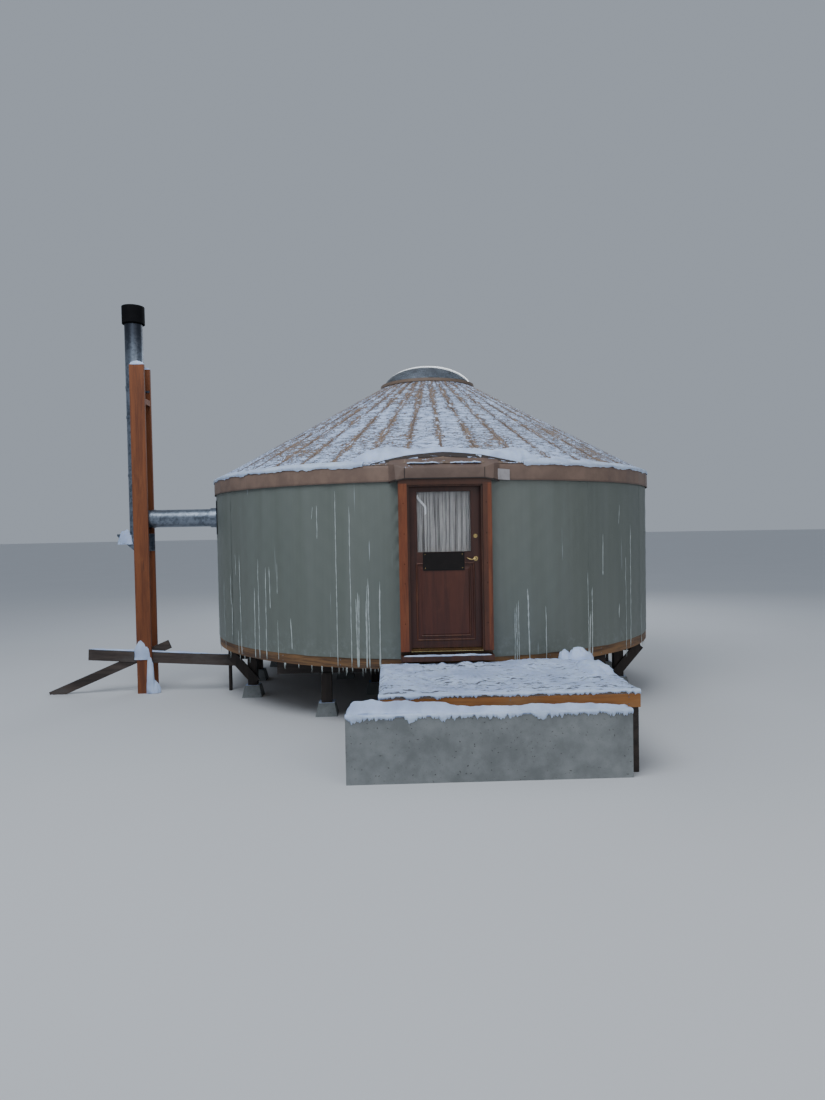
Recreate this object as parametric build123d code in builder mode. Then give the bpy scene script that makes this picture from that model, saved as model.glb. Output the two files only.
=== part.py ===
"""Platform yurt: a round lattice-wall tent on a raised timber floor, with its flue, landing and step.

Millimetres. +Z is up, the door faces -Y, and the origin is under the middle of the floor, at the
bottom of the centre foot. Angles go round the yurt from the door, positive towards +X.
"""

import math
import os

from build123d import *

os.makedirs("parts", exist_ok=True)

# Driving dimensions

floor_z = 1000  # top of the floor above the lowest ground
fit_gap = 0.3  # between pieces that lie against each other

wall_r = 3560  # outer face of the wall fabric
fabric_t = 10  # outer fabric with its insulating layer
skin_t = 4  # plain fabric, hems doubled

rafter_count = 45
rafter_w = 38
rafter_d = 89
eave_out = 30  # edge of the roof fabric beyond the wall
eave_h = 2343  # the same edge above the floor
roof_top_r = 750  # upper edge of the roof fabric
roof_top_h = 3940
roof_t = 12  # roof fabric with its insulating layer, measured upright
sag_share = 0.003  # set of the fabric between two rafters, as a share of its distance from the axis
ring_t = 60

door_w = 914  # leaf
door_h = 2032
door_t = 45
door_gap = 5
strike_gap = 7.5  # leaf to rebate on the latch side, which swings wide of square
threshold_h = 28
jamb_w = 133
stop_lap = 8  # the stops overlap the leaf by this much
frame_out = 40  # door frame in front of the wall fabric
frame_depth = 116
frame_h = 2250

valance_h = 238
valance_half_angle = 11.2  # the band stops here on both sides of the door

deck_t = 38
joist_d = 197
joist_w = 38
joist_step = 406
rim_t = 25
girder_w = 89
girder_d = 184
post_w = 140
foot_h = 180
foot_w = 300
foot_top_w = 220
row_step = 1300  # between rows of posts
middle_reach = 3000  # outermost posts of the middle row
side_reach = 2850
end_reach = 1600

flue_y = -760
flue_h = 1780  # middle of the flue's level run above the floor
flue_r = 140
flue_bore = 100
tee_x = -4720
stack_h = 4870  # top of the flue above the floor
post_clear = 9  # flue posts stand this far off the pipe
strut_t = 38  # boards that brace the platform and the flue posts

landing_x0 = -840
landing_x1 = 1820
landing_y0 = -5400
landing_drop = 155  # landing below the floor
board_t = 27
fascia_h = 140
fascia_t = 38

# Values that follow from them

rafter_step = 360 / rafter_count
half_step = math.radians(rafter_step / 2)
eave_r = wall_r + eave_out
eave_z = floor_z + eave_h
roof_top_z = floor_z + roof_top_h
roof_slope = (roof_top_h - eave_h) / (eave_r - roof_top_r)
roof_angle = math.atan(roof_slope)
ring_r = roof_top_r - 40

leaf_z0 = floor_z + threshold_h + door_gap
leaf_z1 = leaf_z0 + door_h
frame_front = -(wall_r + frame_out)
frame_back = frame_front + frame_depth
frame_top = floor_z + frame_h
leaf_back = frame_back  # inside face of the leaf
leaf_front = leaf_back - door_t
stop_x = door_w / 2 - stop_lap
stop_y = leaf_front - door_gap
frame_half = stop_x + jamb_w  # outer half width of the door frame

rim_r = wall_r - fabric_t - 1
rim_h = deck_t + joist_d
joist_z = floor_z - rim_h
girder_z = joist_z - girder_d

flue_z = floor_z + flue_h
front_post_y = flue_y - flue_r - post_clear
rear_post_y = flue_y + flue_r + post_clear
beam_y = front_post_y + fit_gap + strut_t / 2
brace_y = beam_y + strut_t + fit_gap

landing_y1 = -(rim_r + fit_gap)  # the landing is nailed to the rim in front of the door
landing_z = floor_z - landing_drop


def radial(r, angle, z=0.0):
    """Point at a distance from the axis and an angle from the door."""
    a = math.radians(angle)
    return (r * math.sin(a), -r * math.cos(a), z)


def block(x0, x1, y0, y1, z0, z1, mode=Mode.ADD):
    """Box between two corners, in the builder that is open."""
    with Locations(((x0 + x1) / 2, (y0 + y1) / 2, (z0 + z1) / 2)):
        Box(x1 - x0, y1 - y0, z1 - z0, mode=mode)


def bar(start, end, across, deep, side=(0, 1, 0)):
    """Straight timber from one point to another; across is measured along side."""
    a, b = Vector(*start), Vector(*end)
    run = b - a
    with BuildSketch(Plane(origin=a, x_dir=Vector(*side), z_dir=run)) as section:
        Rectangle(across, deep)
    extrude(section.sketch, amount=run.length)


def arc_wall(r_in, r_out, a0, a1, z0, z1):
    """Upright piece of a round wall between two angles."""
    with BuildSketch(Plane.XY.offset(z0)) as plan:
        with BuildLine():
            outer = CenterArc((0, 0), r_out, a0 - 90, a1 - a0)
            inner = CenterArc((0, 0), r_in, a0 - 90, a1 - a0)
            Line(outer @ 0, inner @ 0)
            Line(outer @ 1, inner @ 1)
        make_face()
    extrude(plan.sketch, amount=z1 - z0)


def upright_tube(r_out, r_in, x, y, z0, z1, mode=Mode.ADD):
    with BuildSketch(Plane.XY.offset(z0)) as plan:
        with Locations((x, y)):
            Circle(r_out)
            if r_in:
                Circle(r_in, mode=Mode.SUBTRACT)
    extrude(plan.sketch, amount=z1 - z0, mode=mode)


def save(builder, name):
    builder.part.label = name
    export_step(builder.part, "parts/" + name + ".step")


# Ground, posts and floor

post_rows = (
    (-2 * row_step, end_reach, 3),
    (-row_step, side_reach, 4),
    (0, middle_reach, 5),
    (row_step, side_reach, 4),
    (2 * row_step, end_reach, 3),
)
post_spots = [
    (-reach + 2 * reach * i / (count - 1), y) for y, reach, count in post_rows for i in range(count)
]


def chord(offset, r):
    """Half length of a chord at a distance from the middle."""
    return math.sqrt(r * r - offset * offset)


footing_taper = math.degrees(math.atan((foot_w - foot_top_w) / 2 / foot_h))
with BuildPart() as footings:
    with BuildSketch():
        with Locations(*post_spots):
            Rectangle(foot_w, foot_w)
    extrude(amount=foot_h, taper=footing_taper)
save(footings, "post_footings")

with BuildPart() as posts:
    for x, y in post_spots:
        block(x - post_w / 2, x + post_w / 2, y - post_w / 2, y + post_w / 2, foot_h, girder_z)
save(posts, "platform_posts")

girder_inset = 60
with BuildPart() as girders:
    for y, reach, count in post_rows:
        half = chord(abs(y) + girder_w / 2, rim_r - rim_t) - girder_inset
        block(-half, half, y - girder_w / 2, y + girder_w / 2, girder_z, joist_z)
save(girders, "floor_girders")

joist_count = 17
with BuildPart() as joists:
    for i in range(joist_count):
        x = (i - (joist_count - 1) / 2) * joist_step
        half = chord(abs(x) + joist_w / 2, rim_r - rim_t - fit_gap)
        block(x - joist_w / 2, x + joist_w / 2, -half, half, joist_z, joist_z + joist_d)
save(joists, "floor_joists")

rim_boards = 12
seam_gap = 0.02  # degrees between two pieces of a round wall
with BuildPart() as rim:
    for i in range(rim_boards):
        a0 = (i + 0.5) * 360 / rim_boards
        arc_wall(rim_r - rim_t, rim_r, a0, a0 + 360 / rim_boards - seam_gap, joist_z, floor_z)
save(rim, "rim_band")

with BuildPart() as deck:
    with Locations((0, 0, floor_z - deck_t / 2)):
        Cylinder(rim_r - rim_t - fit_gap, deck_t)
save(deck, "floor_deck")

strut_d = 140
strut_foot = (side_reach - 60, foot_h + 55)
strut_head = (side_reach + 320, girder_z + 89)
prop_x = -3300
prop_d = 89
prop_y = beam_y + strut_t / 2 + fit_gap
with BuildPart() as struts:
    for side_y in (-1, 1):
        y = side_y * (row_step + post_w / 2 + strut_t / 2 + fit_gap)
        for side_x in (-1, 1):
            foot = (side_x * strut_foot[0], y, strut_foot[1])
            head = (side_x * strut_head[0], y, strut_head[1])
            bar(foot, head, strut_t, strut_d)
    block(prop_x - strut_t / 2, prop_x + strut_t / 2, prop_y, prop_y + prop_d, 0, joist_z - fit_gap)
save(struts, "platform_struts")

# Lattice wall, cable, rafters and ring

slat_w = 40
slat_t = 13
slat_pitches = 5  # rafter bays that one slat crosses from floor to cable
lattice_r = wall_r - fabric_t - 4  # corners of the outer layer's outer face
layer_r = lattice_r - slat_t  # plane where the two layers meet


def roof_z(r):
    """Height of the roof fabric over a rafter."""
    return eave_z + roof_slope * (eave_r - r)


# The fabric falls to both sides of a rafter's middle line, and clears its two upper edges.
bay_depth = math.cos(half_step) - sag_share  # middle line of a bay, as a share of its ridges' distance
bay_inset = (1 - bay_depth * math.cos(half_step)) / (bay_depth * math.sin(half_step))
rafter_drop = roof_t + fit_gap / math.cos(roof_angle) + roof_slope * bay_inset * rafter_w / 2


def rafter_top(r):
    return roof_z(r) - rafter_drop


def rafter_under(r):
    return rafter_top(r) - rafter_d / math.cos(roof_angle)


cable_r = 5
notch_d = 8
cable_z = rafter_under(layer_r) + notch_d - cable_r - fit_gap
lattice_top = cable_z - cable_r
crossing_z = lattice_top - slat_w / 2  # highest crossings
slat_rise = (crossing_z - floor_z) / slat_pitches
slat_run = 2 * lattice_r * math.sin(half_step)
slat_h = slat_w / math.cos(math.atan2(slat_rise, slat_run))


def facet(r, angle):
    """Upright plane of one rafter bay, with its outward side facing away from the axis."""
    a = math.radians(angle)
    mid = r * math.cos(half_step)
    return Plane(
        origin=(mid * math.sin(a), -mid * math.cos(a), 0),
        x_dir=(math.cos(a), math.sin(a), 0),
        z_dir=(math.sin(a), -math.cos(a), 0),
    )


def slat(r_out, turn):
    """One slat from the floor to the cable, a straight bar in each rafter bay, mitred between bays."""
    for k in range(-1, slat_pitches + 1):
        near = floor_z + k * slat_rise
        far = near + slat_rise
        left, right = (near, far) if turn > 0 else (far, near)
        faces = []
        for r in (r_out, r_out - slat_t):
            half = r * math.sin(half_step)
            with BuildSketch(facet(r, turn * (k + 0.5) * rafter_step)) as outline:
                Polygon(
                    (-half, left - slat_h / 2),
                    (half, right - slat_h / 2),
                    (half, right + slat_h / 2),
                    (-half, left + slat_h / 2),
                    align=None,
                )
            faces.append(outline.sketch)
        loft(faces, ruled=True)
    block(-wall_r, wall_r, -wall_r, wall_r, floor_z + fit_gap, lattice_top, mode=Mode.INTERSECT)


flue_angle = math.degrees(math.atan2(-chord(flue_y, wall_r), -flue_y))
collar_half = 230  # wooden frame round the flue, in the lattice's place
collar_open = flue_r + 25
collar_t = 24
collar_r = lattice_r - 6
through = 60  # cuts through the round wall reach this far to both sides of its face


def wall_plane(r):
    """Plane that faces out through the wall where the flue leaves."""
    a = math.radians(flue_angle)
    return Plane(
        origin=(r * math.sin(a), -r * math.cos(a), flue_z),
        x_dir=(math.cos(a), math.sin(a), 0),
        z_dir=(math.sin(a), -math.cos(a), 0),
    )


def clear_doorway_and_flue():
    """Cut the lattice away where the door frame and the flue's wooden frame stand."""
    half = frame_half + fit_gap
    block(-half, half, -wall_r, frame_back + 200, floor_z, lattice_top, mode=Mode.SUBTRACT)
    with BuildSketch(wall_plane(lattice_r - through)) as collar_place:
        Rectangle(2 * collar_half + 2 * fit_gap, 2 * collar_half + 2 * fit_gap)
    extrude(collar_place.sketch, amount=2 * through, mode=Mode.SUBTRACT)


for name, r_out, turn in (("lattice_outer_slats", lattice_r, 1), ("lattice_inner_slats", layer_r, -1)):
    with BuildPart() as one_slat:
        slat(r_out, turn)
    with BuildPart() as lattice:
        with PolarLocations(0, rafter_count):
            add(one_slat.part, clean=False)
        clear_doorway_and_flue()
    save(lattice, name)

with BuildPart() as collar:
    with BuildSketch(wall_plane(collar_r - collar_t)):
        Rectangle(2 * collar_half, 2 * collar_half)
        Rectangle(2 * collar_open, 2 * collar_open, mode=Mode.SUBTRACT)
    extrude(amount=collar_t)
save(collar, "flue_wall_frame")

cable_end = math.degrees(math.asin((frame_half + 2) / layer_r))
with BuildPart() as cable:
    corners = [radial(layer_r, cable_end, cable_z)]
    corners += [radial(layer_r, i * rafter_step, cable_z) for i in range(2, rafter_count - 1)]
    corners += [radial(layer_r, -cable_end, cable_z)]
    with BuildLine() as run:
        Polyline(*corners)
    with BuildSketch(Plane(origin=corners[0], z_dir=run.line % 0)):
        RegularPolygon(cable_r, 6)
    sweep(transition=Transition.RIGHT)
save(cable, "eave_cable")

rafter_tail = wall_r - fabric_t - 5
rafter_head = ring_r + fit_gap
seat_r = layer_r - slat_t - 8  # the seat cut over the cable starts here
with BuildPart() as rafter:
    with BuildSketch(Plane(origin=(0, 0, 0), x_dir=(0, -1, 0), z_dir=(-1, 0, 0))):
        Polygon(
            (rafter_head, rafter_top(rafter_head)),
            (rafter_tail, rafter_top(rafter_tail)),
            (rafter_tail, rafter_under(layer_r) + notch_d),
            (seat_r, rafter_under(layer_r) + notch_d),
            (seat_r, rafter_under(seat_r)),
            (rafter_head, rafter_under(rafter_head)),
            align=None,
        )
    extrude(amount=rafter_w / 2, both=True)

with BuildPart() as rafters:
    with PolarLocations(0, rafter_count):
        add(rafter.part, clean=False)
save(rafters, "rafters")

ring_top = rafter_top(ring_r) + fit_gap
ring_under = rafter_under(ring_r) - 18
with BuildPart() as centre_ring:
    upright_tube(ring_r, ring_r - ring_t, 0, 0, ring_under, ring_top)
save(centre_ring, "centre_ring")

# Fabric


def roof_corners(r):
    """Plan of the roof fabric: out at each rafter and set in between two of them."""
    corners = []
    for i in range(rafter_count):
        corners.append(radial(r, i * rafter_step)[:2])
        corners.append(radial(r * bay_depth, (i + 0.5) * rafter_step)[:2])
    return corners


def roof_body(lower, mode=Mode.ADD):
    """Everything under the roof's facets, let down by a distance. Each facet is a flat face."""
    low, high = [
        [Vector(x, y, roof_z(r) - lower) for x, y in roof_corners(r)] for r in (eave_r, roof_top_r)
    ]
    faces = [Face(Wire.make_polygon(low)), Face(Wire.make_polygon(high))]
    for i in range(len(low)):
        after = (i + 1) % len(low)
        faces.append(Face(Wire.make_polygon([low[i], low[after], high[after], high[i]])))
    add(Solid(Shell(faces)), mode=mode)


roof_widths = 15  # widths of fabric, welded over every third rafter
opening_r = roof_top_r + 2  # round hole for the skylight
with BuildPart() as roof:
    roof_body(0)
    roof_body(roof_t, mode=Mode.SUBTRACT)
    upright_tube(opening_r, 0, 0, 0, roof_top_z - through, roof_top_z + through, mode=Mode.SUBTRACT)
    with PolarLocations(0, roof_widths, start_angle=rafter_step - 90):
        with Locations((wall_r / 2, 0, (eave_z + roof_top_z) / 2)):
            Box(wall_r + 2 * through, 2 * fit_gap, 2 * (roof_top_z - eave_z), mode=Mode.SUBTRACT)
save(roof, "roof_cover")

cover_hem = floor_z - 104  # over the rim
cover_top = frame_top - 10
cover_widths = 14
cover_end = math.degrees(math.asin((frame_half + fit_gap) / (wall_r - fabric_t)))
flue_hole_r = flue_r + 8
with BuildPart() as cover:
    width = (360 - 2 * cover_end) / cover_widths
    for i in range(cover_widths):
        a0 = cover_end + i * width
        a1 = a0 + width - (seam_gap if i < cover_widths - 1 else 0)
        arc_wall(wall_r - fabric_t, wall_r, a0, a1, cover_hem, cover_top)
    with BuildSketch(wall_plane(wall_r - through)):
        Circle(flue_hole_r)
    extrude(amount=2 * through, mode=Mode.SUBTRACT)
save(cover, "wall_cover")

valance_hem = eave_z - valance_h
with BuildPart() as valance:
    with BuildSketch(Plane.XY.offset(valance_hem)):
        Polygon(*roof_corners(eave_r), align=None)
        Polygon(*roof_corners(eave_r - skin_t), align=None, mode=Mode.SUBTRACT)
        door_side = [radial(2 * eave_r, side * valance_half_angle)[:2] for side in (-1, 1)]
        Polygon((0, 0), *door_side, align=None, mode=Mode.SUBTRACT)
    extrude(amount=valance_h - fit_gap)
save(valance, "valance")

# The flap hangs off the roof in front of the door's head and folds back to the band on both sides.
flap_half = 500
flap_front = frame_front - 36
flap_hem = floor_z + 2146
flap_fold = floor_z + 2284
flap_lap = 150  # how far it lies on the roof
flap_corner = (frame_half + 16, frame_front - 25)  # the sides go round the frame's head
with BuildPart() as flap:
    with BuildSketch(Plane(origin=(-flap_half, 0, 0), x_dir=(0, 1, 0), z_dir=(1, 0, 0))):
        back = flap_lap - eave_r
        back_z = roof_z(-back) + fit_gap
        edge_z = eave_z + fit_gap
        Polygon(
            (flap_front, flap_hem),
            (flap_front + skin_t, flap_hem),
            (flap_front + skin_t, flap_fold),
            (-eave_r, edge_z),
            (back, back_z),
            (back, back_z + skin_t),
            (-eave_r - 2, edge_z + skin_t),
            (flap_front, flap_fold + skin_t),
            align=None,
        )
    extrude(amount=2 * flap_half)
    for side in (-1, 1):
        band_end = radial(eave_r - 2, side * (valance_half_angle - 0.3))
        corners = [
            (Vector(side * (flap_half - 2), flap_front + 2, 0), flap_hem, flap_fold),
            (Vector(side * flap_corner[0], flap_corner[1], 0), flap_hem - 10, flap_fold + 6),
            (Vector(band_end[0], band_end[1], 0), valance_hem, eave_z - 3),
        ]
        for (near, near_hem, near_fold), (far, far_hem, far_fold) in zip(corners, corners[1:]):
            run = far - near
            with BuildSketch(Plane(origin=near, x_dir=run, z_dir=run.cross(Vector(0, 0, 1)))):
                Polygon(
                    (-1, near_hem),
                    (run.length + 1, far_hem),
                    (run.length + 1, far_fold),
                    (-1, near_fold),
                    align=None,
                )
            extrude(amount=skin_t / 2, both=True)
save(flap, "door_valance")

# A raised fabric strip on the roof turns meltwater away from the door.
diverter_h = 40
diverter_t = 8
diverter_rise = 290  # its middle stands this far up the roof from the edge
diverter_half_angle = 15.5
with BuildPart() as diverter:
    end_x, end_y, _ = radial(eave_r - 40, diverter_half_angle)
    with BuildSketch(Plane.XY.offset(eave_z)):
        with BuildLine() as path:
            ThreePointArc((-end_x, end_y), (30, diverter_rise - eave_r), (end_x, end_y))
            offset(amount=diverter_t / 2, side=Side.BOTH)
        make_face()
    extrude(amount=400)
    for above, mode in ((diverter_h, Mode.INTERSECT), (fit_gap, Mode.SUBTRACT)):
        with BuildSketch(Plane.XY.offset(roof_z(eave_r + through) + above)) as cone_low:
            Circle(eave_r + through)
        with BuildSketch(Plane.XY.offset(roof_z(eave_r / 2) + above)) as cone_high:
            Circle(eave_r / 2)
        loft(mode=mode)
save(diverter, "rain_diverter")

# Skylight

flange_r = roof_top_r + 50
flange_z = ring_top + fit_gap
flange_h = 28
skirt_t = 15
skirt_h = 20
with BuildPart() as dome_ring:
    upright_tube(flange_r, ring_r - ring_t + 10, 0, 0, flange_z, flange_z + flange_h)
    upright_tube(flange_r, flange_r - skirt_t, 0, 0, flange_z - skirt_h, flange_z)
save(dome_ring, "dome_ring")

dome_r = flange_r - 65
dome_h = 325
dome_t = 5
lip_w = 30
dome_z = flange_z + flange_h + fit_gap
ball_r = (dome_r**2 + dome_h**2) / (2 * dome_h)
dome_rise = math.asin(dome_r / ball_r)  # angle from the middle of the dome to its edge
dome_facets = 6


def dome_line(r):
    """Points up the dome's profile, from its edge to just beside its axis."""
    turns = [dome_rise * (1 - i / dome_facets) for i in range(dome_facets + 1)]
    centre_z = dome_z + dome_h - ball_r
    return [(r * math.sin(turn), centre_z + r * math.cos(turn)) for turn in turns]


with BuildPart() as dome:
    with BuildSketch(Plane.XZ):
        Polygon(*dome_line(ball_r), *reversed(dome_line(ball_r - dome_t)), align=None)
    revolve()
    upright_tube(dome_r + lip_w, dome_r - 2 * dome_t, 0, 0, dome_z, dome_z + dome_t)
    block(-flange_r, flange_r, -flange_r, flange_r, dome_z - dome_t, dome_z, mode=Mode.SUBTRACT)
save(dome, "dome")

# Door frame

rebate_left = -door_w / 2 - door_gap
rebate_right = door_w / 2 + strike_gap
stop_z = leaf_z1 - stop_lap
rebate_z = leaf_z1 + door_gap
with BuildPart() as left_jamb:
    with BuildSketch(Plane.XY.offset(floor_z)):
        Polygon(
            (-frame_half, frame_front),
            (-stop_x, frame_front),
            (-stop_x, stop_y),
            (rebate_left, stop_y),
            (rebate_left, frame_back),
            (-frame_half, frame_back),
            align=None,
        )
    extrude(amount=frame_top - floor_z)
save(left_jamb, "left_jamb")

with BuildPart() as right_jamb:
    with BuildSketch(Plane.XY.offset(floor_z)):
        Polygon(
            (frame_half, frame_front),
            (stop_x, frame_front),
            (stop_x, stop_y),
            (rebate_right, stop_y),
            (rebate_right, frame_back),
            (frame_half, frame_back),
            align=None,
        )
    extrude(amount=frame_top - floor_z)
save(right_jamb, "right_jamb")

with BuildPart() as head:
    with BuildSketch(Plane(origin=(-stop_x + fit_gap, 0, 0), x_dir=(0, 1, 0), z_dir=(1, 0, 0))):
        Polygon(
            (frame_front, stop_z),
            (stop_y, stop_z),
            (stop_y, rebate_z),
            (frame_back, rebate_z),
            (frame_back, frame_top),
            (frame_front, frame_top),
            align=None,
        )
    extrude(amount=2 * (stop_x - fit_gap))
save(head, "head_jamb")

casing_t = 19
casing_w = jamb_w - 21
casing_head = stop_z + 20
with BuildPart() as casing:
    casing_back = frame_front - fit_gap
    for side in (-1, 1):
        x0, x1 = sorted((side * frame_half, side * (frame_half - casing_w)))
        block(x0, x1, casing_back - casing_t, casing_back, floor_z + 2, casing_head - 1)
    block(-frame_half, frame_half, casing_back - casing_t, casing_back, casing_head, frame_top - 30)
save(casing, "door_casing")

with BuildPart() as threshold:
    with BuildSketch(Plane(origin=(-stop_x + fit_gap, 0, 0), x_dir=(0, 1, 0), z_dir=(1, 0, 0))):
        Polygon(
            (frame_front - 30, floor_z + 1),
            (frame_front - 30, floor_z + 8),
            (stop_y - 10, floor_z + threshold_h),
            (frame_back, floor_z + threshold_h),
            (frame_back, floor_z + fit_gap),
            (frame_front + 60, floor_z + fit_gap),
            (frame_front + 60, floor_z + 1),
            align=None,
        )
    extrude(amount=2 * (stop_x - fit_gap))
save(threshold, "threshold")

sill_half = frame_half - 2
sill_top = floor_z - 48
sill_t = 62
sill_out = 100
with BuildPart() as sill:
    block(-sill_half, sill_half, frame_front - sill_out, frame_back, sill_top - sill_t, sill_top)
    with Locations((0, 0, sill_top)):
        Cylinder(rim_r + fit_gap, 4 * sill_t, mode=Mode.SUBTRACT)
save(sill, "door_sill")

# Door leaf

hinge_stile = 95
lock_stile = 119
top_rail = 58
lock_rail = 137
bottom_rail = 104
glass_h = 782
glass_x0 = -door_w / 2 + hinge_stile
glass_x1 = door_w / 2 - lock_stile
glass_z1 = leaf_z1 - top_rail
glass_z0 = glass_z1 - glass_h
panel_x0 = glass_x0 + 2
panel_x1 = glass_x1 + 14
panel_z0 = leaf_z0 + bottom_rail
panel_z1 = glass_z0 - lock_rail
lock_x = door_w / 2 - 77
lever_z = leaf_z0 + 1114
bolt_z = lever_z + 284
spindle_hole = 14

with BuildPart() as leaf:
    block(-door_w / 2, door_w / 2, leaf_front, leaf_back, leaf_z0, leaf_z1)
    block(glass_x0, glass_x1, leaf_front - 1, leaf_back + 1, glass_z0, glass_z1, mode=Mode.SUBTRACT)
    block(panel_x0, panel_x1, leaf_front - 1, leaf_back + 1, panel_z0, panel_z1, mode=Mode.SUBTRACT)
    with BuildSketch(Plane(origin=(lock_x, leaf_front - 1, lever_z), x_dir=(1, 0, 0), z_dir=(0, 1, 0))):
        Circle(spindle_hole)
    extrude(amount=door_t + 2, mode=Mode.SUBTRACT)
save(leaf, "door_leaf")

panel_t = 22
field_rise = 7
with BuildPart() as panel:
    mid_y = (leaf_front + leaf_back) / 2
    x0, x1, z0, z1 = panel_x0 + fit_gap, panel_x1 - fit_gap, panel_z0 + fit_gap, panel_z1 - fit_gap
    block(x0, x1, mid_y - panel_t / 2, mid_y + panel_t / 2, z0, z1)
    for side in (-1, 1):
        face = mid_y + side * panel_t / 2
        for inset, at in ((42, face), (70, face + side * field_rise)):
            middle = ((x0 + x1) / 2, at, (z0 + z1) / 2)
            with BuildSketch(Plane(origin=middle, x_dir=(1, 0, 0), z_dir=(0, -1, 0))):
                Rectangle(x1 - x0 - 2 * inset, z1 - z0 - 2 * inset)
        loft()
save(panel, "door_panel")

glass_t = 6
bead_w = 14
glass_y = leaf_front + 20
with BuildPart() as glass:
    block(glass_x0 + 2, glass_x1 - 2, glass_y, glass_y + glass_t, glass_z0 + 2, glass_z1 - 2)
save(glass, "door_glass")

with BuildPart() as beads:
    for y0, y1 in ((leaf_front + 4, glass_y - fit_gap), (glass_y + glass_t + fit_gap, leaf_back - 4)):
        block(glass_x0 + fit_gap, glass_x1 - fit_gap, y0, y1, glass_z0 + fit_gap, glass_z1 - fit_gap)
        block(
            glass_x0 + bead_w,
            glass_x1 - bead_w,
            y0 - 1,
            y1 + 1,
            glass_z0 + bead_w,
            glass_z1 - bead_w,
            mode=Mode.SUBTRACT,
        )
save(beads, "glazing_beads")

# The curtain hangs gathered on two rods on the inside of the leaf.
fold_count = 14
fold_depth = 9
curtain_t = 2
curtain_y = leaf_back + 16
rod_r = 4
with BuildPart() as curtain:
    x0, x1 = glass_x0 - 18, glass_x1 + 18
    with BuildSketch(Plane.XY.offset(glass_z0 - 15)):
        with BuildLine():
            crests = [
                (x0 + (x1 - x0) * i / (2 * fold_count), curtain_y + fold_depth / 2 * (-1) ** i)
                for i in range(2 * fold_count + 1)
            ]
            back = [(x, y + curtain_t) for x, y in reversed(crests)]
            Polyline(*crests, *back, close=True)
        make_face()
    extrude(amount=glass_z1 - glass_z0 + 20)
save(curtain, "door_curtain")

with BuildPart() as rods:
    rod_y = curtain_y + fold_depth / 2 + curtain_t + rod_r + fit_gap
    for z in (glass_z0 - 8, glass_z1 - 2):
        with BuildSketch(Plane(origin=(x0 - 16, rod_y, z), x_dir=(0, 1, 0), z_dir=(1, 0, 0))):
            Circle(rod_r)
        extrude(amount=x1 - x0 + 32)
        for x in (x0 - 12, x1 + 12):
            block(x - 4, x + 4, leaf_back + fit_gap, rod_y + 2, z - 8, z + 8)
save(rods, "curtain_rods")

sign_x = -22
sign_w = 522
sign_h = 230
sign_t = 5
sign_z = leaf_z0 + 972
with BuildPart() as sign:
    sign_back = leaf_front - fit_gap
    block(sign_x - sign_w / 2, sign_x + sign_w / 2, sign_back - sign_t, sign_back, sign_z, sign_z + sign_h)
save(sign, "sign_plate")

rose_t = 8
neck_r = 10
rose_r = 29
bolt_plate_r = 26
bolt_plate_t = 9
cylinder_r = 17
cylinder_t = 6
thumb_turn = 16
with BuildPart() as lock:
    for y, out in ((leaf_front - fit_gap, -1), (leaf_back + fit_gap, 1)):
        with BuildSketch(Plane(origin=(lock_x, y, bolt_z), x_dir=(1, 0, 0), z_dir=(0, out, 0))):
            Circle(bolt_plate_r)
        extrude(amount=bolt_plate_t)
        plate_face = (lock_x, y + out * bolt_plate_t, bolt_z)
        with BuildSketch(Plane(origin=plate_face, x_dir=(1, 0, 0), z_dir=(0, out, 0))):
            Circle(cylinder_r)
        extrude(amount=cylinder_t)
        with BuildSketch(Plane(origin=(lock_x, y, lever_z), x_dir=(1, 0, 0), z_dir=(0, out, 0))):
            Circle(rose_r)
            Circle(neck_r + fit_gap, mode=Mode.SUBTRACT)
        extrude(amount=rose_t)
    half = thumb_turn / 2
    turn_y = leaf_back + bolt_plate_t + cylinder_t
    block(lock_x - half, lock_x + half, turn_y - 1, turn_y + 20, bolt_z - half / 2, bolt_z + half / 2)
save(lock, "door_lock")

lever_len = 118
lever_out = 46
lever_t = 11
with BuildPart() as lever:
    spindle_end = (lock_x, leaf_front - lever_out, lever_z)
    with BuildSketch(Plane(origin=spindle_end, x_dir=(1, 0, 0), z_dir=(0, 1, 0))):
        Circle(neck_r)
    extrude(amount=door_t + 2 * lever_out)
    for y, out in ((leaf_front - lever_out, -1), (leaf_back + lever_out, 1)):
        with BuildSketch(Plane(origin=(lock_x, y, lever_z), x_dir=(1, 0, 0), z_dir=(0, out, 0))):
            Circle(neck_r + 2)
            Polygon((0, -9), (0, 9), (-lever_len, 6), (-lever_len, -6), align=None)
        extrude(amount=lever_t)
save(lever, "lever_handle")

pin_x = -door_w / 2 - 4
pin_y = leaf_back + 7.5
knuckle_r = 7
pin_r = 3.5
hinge_h = 100
hinge_end = 230  # end hinges from the leaf's ends
hinge_w = 44
knuckle_gap = 0.5
hinge_zs = (leaf_z0 + hinge_end, (leaf_z0 + leaf_z1) / 2, leaf_z1 - hinge_end)
plate_y0 = leaf_back + fit_gap
plate_t = 2.5
third = hinge_h / 3
with BuildPart() as frame_hinges:
    for z in hinge_zs:
        block(pin_x - hinge_w, pin_x, plate_y0, plate_y0 + plate_t, z - hinge_h / 2, z + hinge_h / 2)
        for end in (-1, 1):
            z0 = z + end * third - third / 2
            upright_tube(knuckle_r + 1, 0, pin_x, pin_y, z0, z0 + third, Mode.SUBTRACT)
        upright_tube(knuckle_r, 0, pin_x, pin_y, z - third / 2 + knuckle_gap, z + third / 2 - knuckle_gap)
        upright_tube(pin_r, 0, pin_x, pin_y, z - hinge_h / 2, z + hinge_h / 2)
save(frame_hinges, "frame_hinges")

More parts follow.
